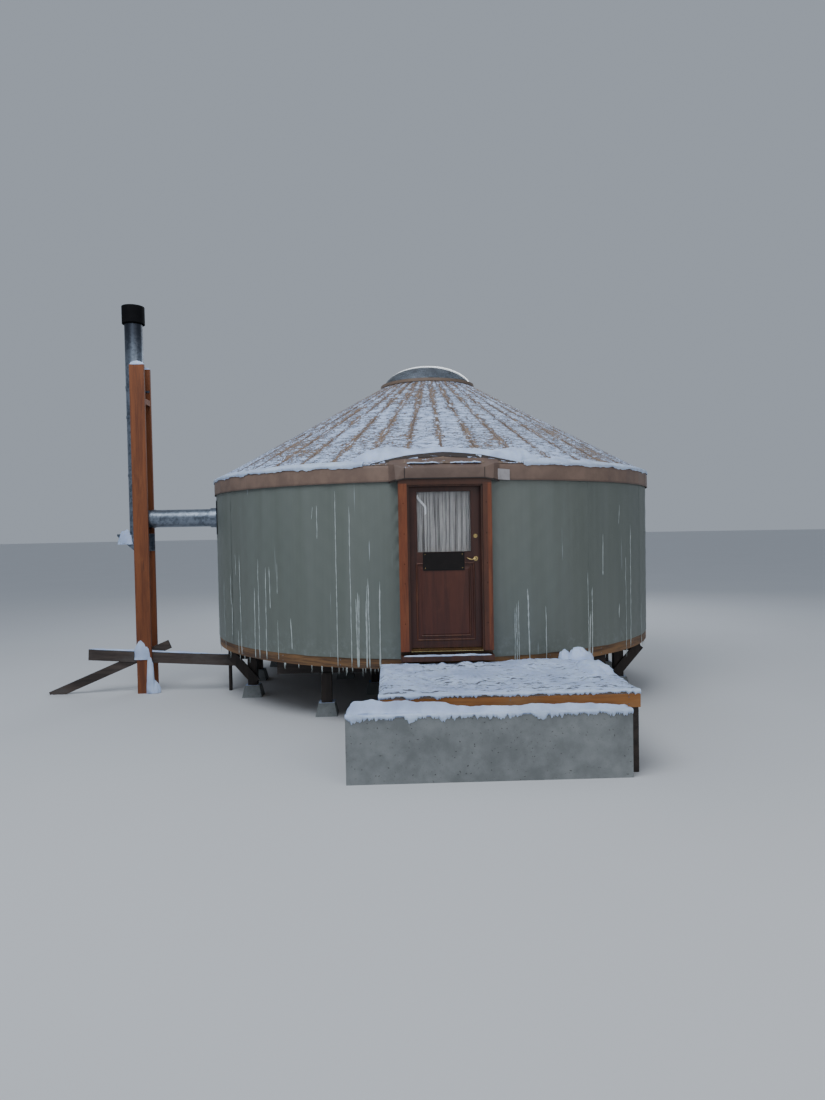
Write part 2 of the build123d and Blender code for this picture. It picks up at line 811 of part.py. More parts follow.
with BuildPart() as door_hinges:
    for z in hinge_zs:
        block(pin_x, pin_x + hinge_w, plate_y0, plate_y0 + plate_t, z - hinge_h / 2, z + hinge_h / 2)
        upright_tube(knuckle_r + 1, 0, pin_x, pin_y, z - third / 2, z + third / 2, Mode.SUBTRACT)
        for end in (-1, 1):
            z0 = z + end * third - third / 2
            upright_tube(knuckle_r, 0, pin_x, pin_y, z0 + knuckle_gap, z0 + third - knuckle_gap)
        upright_tube(pin_r + fit_gap, 0, pin_x, pin_y, z - hinge_h, z + hinge_h, Mode.SUBTRACT)
save(door_hinges, "door_hinges")

# Flue

tee_half = 240
band_r = flue_r + 7
band_w = 36
strap_z = floor_z + 3820  # strap that ties the pipe to the two posts
band_heights = (2474, 3400, 3878)  # joints of the pipe above the floor
stub_x = 98 - chord(flue_y, wall_r)  # the run ends in a plate inside the wall
stub_t = 12
socket_x = tee_x + 250
top_z = floor_z + stack_h
cap_z = top_z + 17
cap_h = 270
cap_r = flue_r + 35


def flue_plane(x):
    return Plane(origin=(x, flue_y, flue_z), x_dir=(0, 1, 0), z_dir=(1, 0, 0))


with BuildPart() as pipe:
    with BuildSketch(flue_plane(socket_x + fit_gap)):
        Circle(flue_r)
        Circle(flue_bore, mode=Mode.SUBTRACT)
    extrude(amount=stub_x - socket_x)
    with BuildSketch(flue_plane(stub_x - stub_t)):
        Circle(flue_bore + 1)
    extrude(amount=stub_t)
    upright_tube(flue_r, flue_bore, tee_x, flue_y, flue_z + tee_half + fit_gap, top_z)
save(pipe, "flue_pipe")

with BuildPart() as tee:
    upright_tube(flue_r, 0, tee_x, flue_y, flue_z - tee_half, flue_z + tee_half)
    with BuildSketch(flue_plane(tee_x)):
        Circle(flue_r)
    extrude(amount=socket_x - tee_x)
    upright_tube(flue_bore, 0, tee_x, flue_y, flue_z - tee_half + stub_t, flue_z + tee_half, Mode.SUBTRACT)
    with BuildSketch(flue_plane(tee_x)):
        Circle(flue_bore)
    extrude(amount=socket_x - tee_x, mode=Mode.SUBTRACT)
save(tee, "flue_tee")

with BuildPart() as bands:
    for z in (floor_z + h for h in band_heights):
        upright_tube(band_r, flue_r + fit_gap, tee_x, flue_y, z - band_w / 2, z + band_w / 2)
    with BuildSketch(flue_plane(socket_x - band_w / 2)):
        Circle(band_r)
        Circle(flue_r + fit_gap, mode=Mode.SUBTRACT)
    extrude(amount=band_w)
    upright_tube(flue_r + 4, flue_r + fit_gap, tee_x, flue_y, strap_z, strap_z + band_w)
    for side in (-1, 1):
        y0, y1 = sorted((flue_y + side * (flue_r + 1), flue_y + side * (flue_r + post_clear - fit_gap)))
        block(tee_x - 30, tee_x + 180, y0, y1, strap_z, strap_z + band_w)
    upright_tube(flue_r + fit_gap, 0, tee_x, flue_y, strap_z, strap_z + band_w, Mode.SUBTRACT)
save(bands, "flue_bands")

cap_open = 180  # underside of the cap's lid above its lower rim
vane_t = 4
with BuildPart() as cap:
    upright_tube(cap_r, 0, tee_x, flue_y, cap_z, cap_z + cap_h)
    upright_tube(cap_r - 15, 0, tee_x, flue_y, cap_z, cap_z + cap_open, Mode.SUBTRACT)
    upright_tube(flue_r - 2, flue_bore, tee_x, flue_y, top_z + fit_gap, cap_z + cap_open - 60)
    for turn in (0, 90):
        with Locations(Location((tee_x, flue_y, cap_z + cap_open - 50), (0, 0, turn))):
            Box(2 * cap_r - 20, vane_t, 110)
    upright_tube(flue_bore, 0, tee_x, flue_y, top_z, cap_z + cap_open - 60, Mode.SUBTRACT)
save(cap, "flue_cap")

flash_half = 270
flash_t = 3
flash_rim = 16  # rim round the pipe
flash_x = -wall_r
with BuildPart() as flashing:
    with BuildSketch(wall_plane(wall_r + fit_gap)):
        Rectangle(2 * flash_half, 2 * flash_half)
    extrude(amount=flash_t)
    with BuildSketch(flue_plane(flash_x)):
        Circle(flue_r + flash_rim)
    extrude(amount=2 * through)
    with Locations((0, 0, flue_z)):
        Cylinder(wall_r + fit_gap / 2, 3 * flash_half, mode=Mode.SUBTRACT)
    with BuildSketch(flue_plane(flash_x - through)):
        Circle(flue_r + fit_gap)
    extrude(amount=4 * through, mode=Mode.SUBTRACT)
save(flashing, "wall_flashing")

# Flue posts, bracket and braces

plank_t = 45
plank_w = 230
front_plank_x = tee_x + 90
rear_plank_x = tee_x + 75
front_plank_z = floor_z + 4210
rear_plank_z = floor_z + 4200
spacer_h = 90
low_spacer_z = 580
high_spacer_z = floor_z + 3600
with BuildPart() as flue_posts:
    half = plank_w / 2
    rear_face = rear_post_y - fit_gap
    block(front_plank_x - half, front_plank_x + half, front_post_y - plank_t, front_post_y, 0, front_plank_z)
    block(rear_plank_x - half, rear_plank_x + half, rear_post_y, rear_post_y + plank_t, 0, rear_plank_z)
    low_y = brace_y + strut_t / 2 + fit_gap
    block(tee_x + 20, tee_x + 150, low_y, rear_face, low_spacer_z, low_spacer_z + spacer_h)
    high_x = tee_x + flue_r + 8
    high_y = front_post_y + fit_gap
    block(high_x, high_x + strut_t, high_y, rear_face, high_spacer_z, high_spacer_z + spacer_h)
save(flue_posts, "flue_posts")

shelf_z = flue_z - tee_half - fit_gap
shelf_x0 = tee_x - 298
shelf_x1 = tee_x + 220
gusset_h = 280
sheet_t = 4
with BuildPart() as bracket:
    y0, y1 = front_post_y + fit_gap, rear_post_y - fit_gap
    block(shelf_x0, shelf_x1, y0, y1, shelf_z - sheet_t, shelf_z)
    for side_y in (y0, y1 - sheet_t):
        with BuildSketch(Plane(origin=(0, side_y, 0), x_dir=(1, 0, 0), z_dir=(0, -1, 0))):
            Polygon(
                (shelf_x0, shelf_z - 1),
                (shelf_x0, shelf_z - 30),
                (tee_x - 20, shelf_z - gusset_h),
                (tee_x + 200, shelf_z - gusset_h),
                (tee_x + 200, shelf_z - 1),
                align=None,
            )
        extrude(amount=-sheet_t)
save(bracket, "flue_bracket")

beam_d = 178
brace_d = 140
beam_ends = ((-5521, 633), (-3200, 492))  # x and z of the middle of each end
brace_ends = ((-6150, -25), (-4250, 770))
with BuildPart() as tie_beam:
    start, end = ((x, beam_y, z) for x, z in beam_ends)
    bar(start, end, strut_t, beam_d)
save(tie_beam, "tie_beam")

with BuildPart() as brace:
    start, end = ((x, brace_y, z) for x, z in brace_ends)
    bar(start, end, strut_t, brace_d)
    foot_x = start[0]
    block(foot_x - 500, foot_x + 500, brace_y - strut_t, brace_y + strut_t, -500, 0, mode=Mode.SUBTRACT)
save(brace, "diagonal_brace")

# Landing and step

frame_z1 = landing_z - board_t - fit_gap
frame_z0 = frame_z1 - fascia_h
with BuildPart() as landing_boards:
    block(landing_x0, landing_x1, landing_y0, landing_y1, landing_z - board_t, landing_z)
save(landing_boards, "landing_boards")

with BuildPart() as fascia:
    block(landing_x0, landing_x1, landing_y0, landing_y0 + fascia_t, frame_z0, frame_z1)
save(fascia, "landing_fascia")

landing_post = 89
landing_joists = 6
corner_post = (landing_x1 - 53, landing_y0 + 85)
with BuildPart() as landing_frame:
    front = landing_y0 + fascia_t + fit_gap
    ledger = landing_y1 - fascia_t
    block(landing_x0, landing_x1, ledger, landing_y1, frame_z0, frame_z1)
    for i in range(landing_joists):
        x = landing_x0 + i * (landing_x1 - landing_x0 - joist_w) / (landing_joists - 1)
        block(x, x + joist_w, front, ledger - fit_gap, frame_z0, frame_z1)
    half = landing_post / 2
    back_row = landing_y1 - half
    back_xs = (landing_x0 + 50, (landing_x0 + landing_x1) / 2, corner_post[0])
    for x, y in [corner_post] + [(x, back_row) for x in back_xs]:
        block(x - half, x + half, y - half, y + half, 0, frame_z0 - fit_gap)
save(landing_frame, "landing_frame")

step_x0 = landing_x0 - 330
step_x1 = landing_x1 - 120
step_y0 = landing_y0 - 120
step_y1 = landing_y0 + 280
with BuildPart() as step:
    block(step_x0, step_x1, step_y0, step_y1, 0, frame_z0 - fit_gap)
    chamfer(step.faces().sort_by(Axis.Z)[-1].edges(), 12)
save(step, "concrete_step")
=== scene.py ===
# %% [markdown]
# # A platform yurt in winter
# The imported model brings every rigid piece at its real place: lattice, rafters, door, flue, platform.
# This script dresses them. It models the fabrics, the snow and ice that lie on them and the small
# trim, and gives every surface a finish made of shader nodes. Lengths are metres, +Z is up, and the
# door faces -Y.

import math
import random

import bmesh
import bpy
from mathutils import Matrix, Vector, noise


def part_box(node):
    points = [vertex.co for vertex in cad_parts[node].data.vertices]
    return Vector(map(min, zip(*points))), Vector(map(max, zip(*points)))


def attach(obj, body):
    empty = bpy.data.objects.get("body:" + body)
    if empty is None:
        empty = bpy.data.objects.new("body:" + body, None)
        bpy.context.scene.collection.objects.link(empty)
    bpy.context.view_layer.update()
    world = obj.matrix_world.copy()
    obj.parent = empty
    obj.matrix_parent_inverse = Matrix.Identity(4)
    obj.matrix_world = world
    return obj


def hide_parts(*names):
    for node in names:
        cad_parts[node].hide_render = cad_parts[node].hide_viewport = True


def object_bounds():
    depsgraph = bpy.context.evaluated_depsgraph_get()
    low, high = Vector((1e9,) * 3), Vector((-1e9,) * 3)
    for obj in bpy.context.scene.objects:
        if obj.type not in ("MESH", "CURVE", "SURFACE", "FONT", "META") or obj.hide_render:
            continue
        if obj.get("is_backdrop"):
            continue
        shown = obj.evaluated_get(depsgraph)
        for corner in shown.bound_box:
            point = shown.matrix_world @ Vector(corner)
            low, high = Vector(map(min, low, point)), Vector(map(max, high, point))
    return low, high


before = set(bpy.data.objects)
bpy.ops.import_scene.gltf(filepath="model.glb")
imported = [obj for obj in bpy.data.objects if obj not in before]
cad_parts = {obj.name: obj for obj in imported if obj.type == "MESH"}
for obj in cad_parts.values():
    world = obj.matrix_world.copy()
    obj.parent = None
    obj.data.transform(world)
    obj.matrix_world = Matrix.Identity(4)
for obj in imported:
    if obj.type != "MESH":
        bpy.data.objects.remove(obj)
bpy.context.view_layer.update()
print("nodes in the frame:", len(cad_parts))

# %% [markdown]
# ## Sizes read from the frame
# Every fabric has to meet the timber it hangs on, so its sizes are read from the pieces themselves.
# The roof is a cone over 45 rafters, and its pitch follows from its lower and upper edge.

# %% Read the main sizes
wall_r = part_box("wall_cover")[1].x
wall_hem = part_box("wall_cover")[0].z
wall_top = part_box("wall_cover")[1].z
eave_r = -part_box("roof_cover")[0].y
eave_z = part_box("roof_cover")[0].z
top_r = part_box("dome_ring")[1].x - 0.05
valance_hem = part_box("valance")[0].z
rafter_count = 45
bay = 2 * math.pi / rafter_count
opening_r, opening_z = 0.750, 4.940
pitch = (opening_z - eave_z) / (eave_r - opening_r)
door_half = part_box("right_jamb")[1].x
print(f"wall {2 * wall_r:.2f} m across, roof pitch {math.degrees(math.atan(pitch)):.1f} degrees")

# %% [markdown]
# ## Places on a round building
# Most pieces go round the axis, so one helper turns a distance and an angle from the door into a
# point, and another gives the height of the roof over a rafter.

# %% Round places
def polar(r, angle, z=0.0):
    """Point at a distance from the axis and an angle from the door, in degrees towards +X."""
    a = math.radians(angle)
    return Vector((r * math.sin(a), -r * math.cos(a), z))


def angle_of(x, y):
    """Angle from the door in radians, from -pi to pi."""
    return math.atan2(x, -y)


def roof_z(r):
    return eave_z + pitch * (eave_r - r)


def smooth(x):
    """From 0 to 1 with soft ends."""
    x = min(max(x, 0.0), 1.0)
    return x * x * (3 - 2 * x)


def lumps(x, y, z=0.0, scale=1.0, octaves=4):
    """Soft noise between about -1 and 1, the same each run."""
    return noise.fractal(Vector((x, y, z)) * scale, 1.0, 2.0, octaves, noise_basis="PERLIN_ORIGINAL")


# %% [markdown]
# ## Working by hand, in code
# Blender's operators act on what is selected. These helpers deselect everything, name the piece that
# an operator just added, and pick its vertices, edges or faces by a rule, as one would with the mouse.

# %% Selection and modifiers
def deselect():
    if bpy.context.object and bpy.context.object.mode != "OBJECT":
        bpy.ops.object.mode_set(mode="OBJECT")
    bpy.ops.object.select_all(action="DESELECT")


def named(name):
    piece = bpy.context.object
    piece.name = name
    piece.data.name = name
    return piece


def pick(kind, rule):
    """Select the verts, edges or faces of the piece in edit mode for which the rule holds."""
    bpy.ops.mesh.select_all(action="DESELECT")
    mode = {"verts": "VERT", "edges": "EDGE", "faces": "FACE"}[kind]
    bpy.ops.mesh.select_mode(type=mode)
    mesh = bmesh.from_edit_mesh(bpy.context.object.data)
    for element in getattr(mesh, kind):
        element.select_set(rule(element))
    bmesh.update_edit_mesh(bpy.context.object.data)


def modify(piece, kind, **settings):
    """Add a modifier with these settings and apply it."""
    bpy.context.view_layer.objects.active = piece
    modifier = piece.modifiers.new(kind.title(), kind)
    for setting, value in settings.items():
        setattr(modifier, setting, value)
    bpy.ops.object.modifier_apply(modifier=modifier.name)


def shape(piece, move):
    """Move every vertex of a piece by a rule."""
    for vertex in piece.data.vertices:
        vertex.co = move(vertex.co.copy())
    piece.data.update()


def place(piece):
    """Put the piece's place into its mesh, so that the object sits at the origin."""
    deselect()
    piece.select_set(True)
    bpy.context.view_layer.objects.active = piece
    bpy.ops.object.transform_apply(location=True, rotation=True, scale=True)


def outward(piece):
    deselect()
    bpy.context.view_layer.objects.active = piece
    piece.select_set(True)
    bpy.ops.object.mode_set(mode="EDIT")
    bpy.ops.mesh.select_all(action="SELECT")
    bpy.ops.mesh.remove_doubles(threshold=0.00005)
    bpy.ops.mesh.normals_make_consistent(inside=False)
    bpy.ops.object.mode_set(mode="OBJECT")


def cut_lengthways(axis, longer_than, cuts):
    """Cut the edges of the active piece that run along one axis (0, 1 or 2) into equal parts."""
    bpy.ops.object.mode_set(mode="EDIT")
    pick("edges", lambda edge: abs(edge.verts[0].co[axis] - edge.verts[1].co[axis]) > longer_than)
    bpy.ops.mesh.subdivide(number_cuts=cuts)
    bpy.ops.object.mode_set(mode="OBJECT")


def delete_faces(piece, rule):
    """Delete the faces of a piece for which the rule holds."""
    deselect()
    bpy.context.view_layer.objects.active = piece
    piece.select_set(True)
    bpy.ops.object.mode_set(mode="EDIT")
    pick("faces", rule)
    bpy.ops.mesh.delete(type="FACE")
    bpy.ops.object.mode_set(mode="OBJECT")


def finished(piece, body, material, round_under=35):
    """Smooth a finished piece, give it its material and let it ride on its body."""
    place(piece)
    bpy.ops.object.shade_smooth_by_angle(angle=math.radians(round_under))
    piece.data.materials.clear()
    piece.data.materials.append(material)
    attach(piece, body)
    faces = len(piece.data.polygons)
    print(f"{piece.name}: {faces} faces")
    return piece


# %% [markdown]
# ## Shader helpers
# A finish is a small network of nodes. `Net` adds nodes and wires them with few words. Effects that
# several finishes share, such as grain, weave or frost, are node groups that give out only colours,
# masks and heights, and each material keeps its own Principled BSDF.

# %% Node networks
class Net:
    def __init__(self, tree):
        self.tree = tree

    def give(self, node, socket, value):
        """Wire a socket to another node's output, or set it to a plain value."""
        if isinstance(value, bpy.types.NodeSocket):
            self.tree.links.new(value, node.inputs[socket])
        else:
            node.inputs[socket].default_value = value

    def add(self, kind, inputs=None, **settings):
        node = self.tree.nodes.new("ShaderNode" + kind)
        for setting, value in settings.items():
            setattr(node, setting, value)
        for socket, value in (inputs or {}).items():
            self.give(node, socket, value)
        return node

    def math(self, operation, a, b=0.0, c=0.0):
        return self.add("Math", {0: a, 1: b, 2: c}, operation=operation).outputs[0]

    def times(self, a, b):
        return self.math("MULTIPLY", a, b)

    def plus(self, a, b):
        return self.math("ADD", a, b)

    def minus(self, a, b):
        return self.math("SUBTRACT", a, b)

    def rest(self, a):
        """What a mask leaves free: 1 less its value."""
        return self.minus(1.0, a)

    def mix(self, factor, a, b, kind="RGBA", blend="MIX"):
        node = self.add("Mix", data_type=kind, blend_type=blend)
        first = {"RGBA": 6, "FLOAT": 2, "VECTOR": 4}[kind]
        for socket, value in ((0, factor), (first, a), (first + 1, b)):
            self.give(node, socket, value)
        return node.outputs[{"RGBA": 2, "FLOAT": 0, "VECTOR": 1}[kind]]

    def step(self, value, low, high):
        """0 below low, 1 above high and soft between."""
        node = self.add("MapRange", {0: value, 1: low, 2: high, 3: 0.0, 4: 1.0})
        node.interpolation_type = "SMOOTHSTEP"
        return node.outputs[0]

    def noise(self, vector, scale, detail=4.0, roughness=0.55, distortion=0.0):
        inputs = {"Vector": vector, "Scale": scale, "Detail": detail, "Roughness": roughness}
        return self.add("TexNoise", {**inputs, "Distortion": distortion}).outputs[0]

    def stretch(self, vector, scale):
        return self.add("Mapping", {"Vector": vector, "Scale": scale}).outputs[0]


def group(name, inputs, outputs):
    """Start a node group and return its net, its inputs by name and its output node."""
    tree = bpy.data.node_groups.new(name, "ShaderNodeTree")
    kinds = {"colour": "NodeSocketColor", "value": "NodeSocketFloat", "vector": "NodeSocketVector"}
    for socket, (kind, value) in inputs.items():
        made = tree.interface.new_socket(socket, in_out="INPUT", socket_type=kinds[kind])
        if value is not None:
            made.default_value = value
    for socket, kind in outputs.items():
        tree.interface.new_socket(socket, in_out="OUTPUT", socket_type=kinds[kind])
    net = Net(tree)
    entry = tree.nodes.new("NodeGroupInput")
    return net, entry.outputs, tree.nodes.new("NodeGroupOutput")


def material(name, roughness=0.6, metallic=0.0):
    """A new material: its net, its Principled BSDF and its object coordinates."""
    made = bpy.data.materials.new(name)
    made.use_nodes = True
    net = Net(made.node_tree)
    shader = made.node_tree.nodes["Principled BSDF"]
    net.give(shader, "Roughness", roughness)
    net.give(shader, "Metallic", metallic)
    place_on = net.add("TexCoord").outputs["Object"]
    return made, net, shader, place_on


def use(net, group_tree, inputs):
    node = net.tree.nodes.new("ShaderNodeGroup")
    node.node_tree = group_tree
    for socket, value in inputs.items():
        net.give(node, socket, value)
    return node.outputs


def relief(net, shader, height, depth, distance=0.001):
    """Bump a surface by a height between 0 and 1 that stands for a depth in metres."""
    bump = net.add("Bump", {"Height": height, "Strength": depth, "Distance": distance})
    net.give(shader, "Normal", bump.outputs[0])


# %% [markdown]
# ## Shared effects
# *Round wall* unrolls the wall: its first output runs along the wall in metres, its second is the
# height and its third the distance from the axis. Patterns that follow seams or grain of boards bent
# round the platform read it instead of plain coordinates.

# %% Effect: round wall
def round_wall_group():
    net, given, result = group("round wall", {"Place": ("vector", None)}, {"Unrolled": "vector"})
    parts = net.add("SeparateXYZ", {0: given["Place"]}).outputs
    turn = net.math("ARCTAN2", parts[0], net.times(parts[1], -1.0))
    along = net.times(turn, wall_r)
    square = net.plus(net.times(parts[0], parts[0]), net.times(parts[1], parts[1]))
    away = net.math("SQRT", square)
    joined = net.add("CombineXYZ", {0: along, 1: parts[2], 2: away})
    net.give(result, "Unrolled", joined.outputs[0])
    return net.tree


round_wall = round_wall_group()

# %% [markdown]
# *Timber grain* is noise drawn out along the board. Fine fibres lie on broad bands of earlier and
# later wood, and a few dark checks open along them. The stretch of the coordinates, which each
# material sets for its own boards, gives the direction.

# %% Effect: timber grain
def grain_group():
    inputs = {
        "Place": ("vector", None),
        "Light": ("colour", (0.5, 0.3, 0.15, 1)),
        "Dark": ("colour", (0.2, 0.1, 0.05, 1)),
        "Checks": ("value", 0.3),
    }
    net, given, result = group("timber grain", inputs, {"Colour": "colour", "Height": "value"})
    bands = net.noise(given["Place"], 9.0, 3.0, 0.5, 0.8)
    fibres = net.noise(given["Place"], 60.0, 5.0, 0.65)
    tone = net.plus(net.times(bands, 0.65), net.times(fibres, 0.35))
    shade = net.mix(net.step(tone, 0.36, 0.62), given["Dark"], given["Light"])
    crack = net.step(net.noise(given["Place"], 24.0, 2.0, 0.4), 0.66, 0.72)
    opened = net.times(crack, given["Checks"])
    checked = net.mix(opened, shade, (0.01, 0.007, 0.005, 1))
    height = net.minus(tone, opened)
    net.give(result, "Colour", checked)
    net.give(result, "Height", height)
    return net.tree


grain = grain_group()

# %% [markdown]
# *Frost* is the dusting of snow that has blown onto whatever faces up. It asks how far the surface
# looks upwards, and breaks the edge of the dusting with noise.

# %% Effect: frost
def frost_group():
    inputs = {"Place": ("vector", None), "Amount": ("value", 0.5), "Grain": ("value", 30.0)}
    net, given, result = group("frost", inputs, {"Mask": "value"})
    facing = net.add("SeparateXYZ", {0: net.add("NewGeometry").outputs["Normal"]}).outputs[2]
    patch = net.noise(given["Place"], given["Grain"], 6.0, 0.7)
    wide = net.noise(given["Place"], net.times(given["Grain"], 0.14), 3.0, 0.5)
    cover = net.plus(net.times(patch, 0.5), net.times(wide, 0.5))
    limit = net.minus(0.75, net.times(given["Amount"], 0.5))
    lying = net.step(net.minus(cover, limit), -0.02, 0.05)
    mask = net.times(lying, net.step(facing, 0.35, 0.75))
    net.give(result, "Mask", mask)
    return net.tree


frost = frost_group()

# %% [markdown]
# *Weave* is the cloth under a coating: two sets of threads that cross at right angles. On coated
# fabric it is only just seen, and on the curtain it is plain.

# %% Effect: weave
def weave_group():
    inputs = {"Place": ("vector", None), "Threads": ("value", 400.0)}
    net, given, result = group("weave", inputs, {"Height": "value"})
    waves = []
    for direction in ("X", "Y"):
        settings = {"wave_type": "BANDS", "bands_direction": direction, "wave_profile": "SIN"}
        waves.append(
            net.add(
                "TexWave", {"Vector": given["Place"], "Scale": given["Threads"]}, **settings
            ).outputs[1]
        )
    crossed = net.times(net.plus(waves[0], waves[1]), 0.5)
    net.give(result, "Height", crossed)
    return net.tree


weave = weave_group()

# %% [markdown]
# *Runs* are the marks that meltwater leaves as it drips from the roof band and freezes on the wall.
# Each run keeps its place along the wall and fades downwards, so the noise is drawn out in height,
# and only its highest crests are kept.

# %% Effect: runs
def runs_group():
    inputs = {"Unrolled": ("vector", None), "Amount": ("value", 0.5)}
    net, given, result = group("runs", inputs, {"Broad": "value", "Ice": "value"})
    broad = net.noise(net.stretch(given["Unrolled"], (5.0, 0.22, 0.0)), 1.0, 4.0, 0.6, 0.2)
    narrow = net.noise(net.stretch(given["Unrolled"], (22.0, 0.7, 0.0)), 1.0, 3.0, 0.55, 0.35)
    level = net.times(given["Amount"], 0.06)
    ice = net.step(net.plus(narrow, level), 0.735, 0.775)
    net.give(result, "Broad", net.step(broad, 0.3, 0.7))
    net.give(result, "Ice", ice)
    return net.tree


runs = runs_group()
print("shared effects:", len(bpy.data.node_groups))

# %% [markdown]
# ## Finishes of the fabrics
# The wall is a sage-green coated cloth, a little shiny, with ice runs and a faint print of the slats
# behind it. The roof, its band and the flap over the door are the same cloth in tan; the flap's copy
# is darkened as painted shade, and a near-black copy is partly seams, partly painted shade. The snows
# are darker in their hollows and ripples as painted shade.

# %% Fabric finishes
snow_white = (0.58, 0.70, 0.94, 1)


def wall_fabric_material():
    made, net, shader, at = material("sage wall fabric", roughness=0.5)
    unrolled = use(net, round_wall, {"Place": at})["Unrolled"]
    marks = use(net, runs, {"Unrolled": unrolled, "Amount": 0.5})
    cloud = net.noise(net.stretch(unrolled, (2.6, 0.35, 1.0)), 1.0, 4.0, 0.55)
    base = net.mix(net.step(cloud, 0.2, 0.8), (0.116, 0.133, 0.116, 1), (0.138, 0.157, 0.137, 1))
    washed = net.mix(net.times(marks["Broad"], 0.35), base, (0.18, 0.2, 0.19, 1))
    parts = net.add("SeparateXYZ", {0: unrolled}).outputs
    low = net.rest(net.step(parts[1], wall_hem, wall_hem + 0.45))
    splash = net.times(low, net.step(net.noise(at, 14.0, 6.0, 0.7), 0.45, 0.75))
    dusted = net.mix(net.times(splash, 0.3), washed, (0.3, 0.34, 0.36, 1))
    iced = net.mix(net.times(marks["Ice"], 0.62), dusted, (0.5, 0.56, 0.6, 1))
    net.give(shader, "Base Color", iced)
    gloss = net.mix(marks["Ice"], 0.52, 0.2, kind="FLOAT")
    net.give(shader, "Roughness", gloss)
    threads = use(net, weave, {"Place": unrolled, "Threads": 260.0})["Height"]
    height = net.plus(net.times(threads, 0.25), marks["Ice"])
    relief(net, shader, height, 0.4, 0.003)
    return made


def tan_fabric_material(name, light, dark, amount):
    made, net, shader, at = material(name, roughness=0.55)
    unrolled = use(net, round_wall, {"Place": at})["Unrolled"]
    cloud = net.noise(at, 3.0, 5.0, 0.6)
    base = net.mix(net.step(cloud, 0.3, 0.72), dark, light)
    streak = net.noise(net.stretch(unrolled, (9.0, 0.9, 1.0)), 1.0, 4.0, 0.6)
    stained = net.mix(net.times(net.step(streak, 0.5, 0.75), 0.35), base, dark)
    lying = use(net, frost, {"Place": at, "Amount": amount, "Grain": 38.0})["Mask"]
    dusted = net.mix(lying, stained, snow_white)
    net.give(shader, "Base Color", dusted)
    threads = use(net, weave, {"Place": unrolled, "Threads": 260.0})["Height"]
    height = net.plus(net.times(threads, 0.25), net.times(cloud, 0.6))
    relief(net, shader, height, 0.4, 0.003)
    return made


def snow_material():
    made, net, shader, at = material("snow", roughness=0.62)
    wide = net.noise(at, 4.0, 4.0, 0.55)
    fine = net.noise(at, 90.0, 5.0, 0.7)
    # Painted shade: the darker blue lies where the broad noise is low, which is also where the bump
    # sinks, in the snow's hollows.
    hollow_shaded_tint = net.mix(net.step(wide, 0.3, 0.7), (0.42, 0.51, 0.71, 1), snow_white)
    net.give(shader, "Base Color", hollow_shaded_tint)
    net.give(shader, "Subsurface Weight", 0.25)
    net.give(shader, "Subsurface Radius", (0.03, 0.04, 0.06))
    net.give(shader, "Subsurface Scale", 0.4)
    height = net.plus(wide, net.times(fine, 0.12))
    relief(net, shader, height, 0.5, 0.012)
    return made


def trodden_snow_material():
    """Snow walked thin on boards: dull crumbs and streaks of dark wet timber lie along the boards."""
    made, net, shader, at = material("trodden snow", roughness=0.6)
    wide = net.noise(at, 2.4, 4.0, 0.55)
    streak = net.noise(net.stretch(at, (5.5, 24.0, 1.0)), 1.0, 5.0, 0.68, 0.4)
    crumb = net.noise(at, 42.0, 4.0, 0.7)
    parts = net.add("SeparateXYZ", {0: at}).outputs
    near_wall = net.step(parts[1], -4.1, -3.7)
    forward = net.rest(net.step(parts[1], -5.25, -4.3))
    walked = net.plus(net.times(near_wall, 0.4), net.times(forward, 0.55))
    limit = net.plus(0.37, net.times(walked, 0.09))
    limit = net.plus(limit, net.times(net.minus(wide, 0.5), 0.25))
    bare = net.rest(net.step(streak, limit, net.plus(limit, 0.035)))
    # Painted shade: the darker blue lies where the broad noise is low, which is also where the bump
    # sinks, in the snow's hollows.
    hollow_shaded_tint = net.mix(net.step(wide, 0.3, 0.7), (0.40, 0.49, 0.70, 1), snow_white)
    crumbly = net.mix(net.times(net.step(crumb, 0.52, 0.66), 0.22), hollow_shaded_tint, (0.28, 0.33, 0.46, 1))
    net.give(shader, "Base Color", net.mix(net.times(bare, 0.88), crumbly, (0.07, 0.062, 0.07, 1)))
    net.give(shader, "Subsurface Weight", 0.2)
    net.give(shader, "Subsurface Radius", (0.03, 0.04, 0.06))
    net.give(shader, "Subsurface Scale", 0.4)
    height = net.minus(net.plus(wide, net.times(crumb, 0.25)), bare)
    relief(net, shader, height, 0.7, 0.012)
    return made


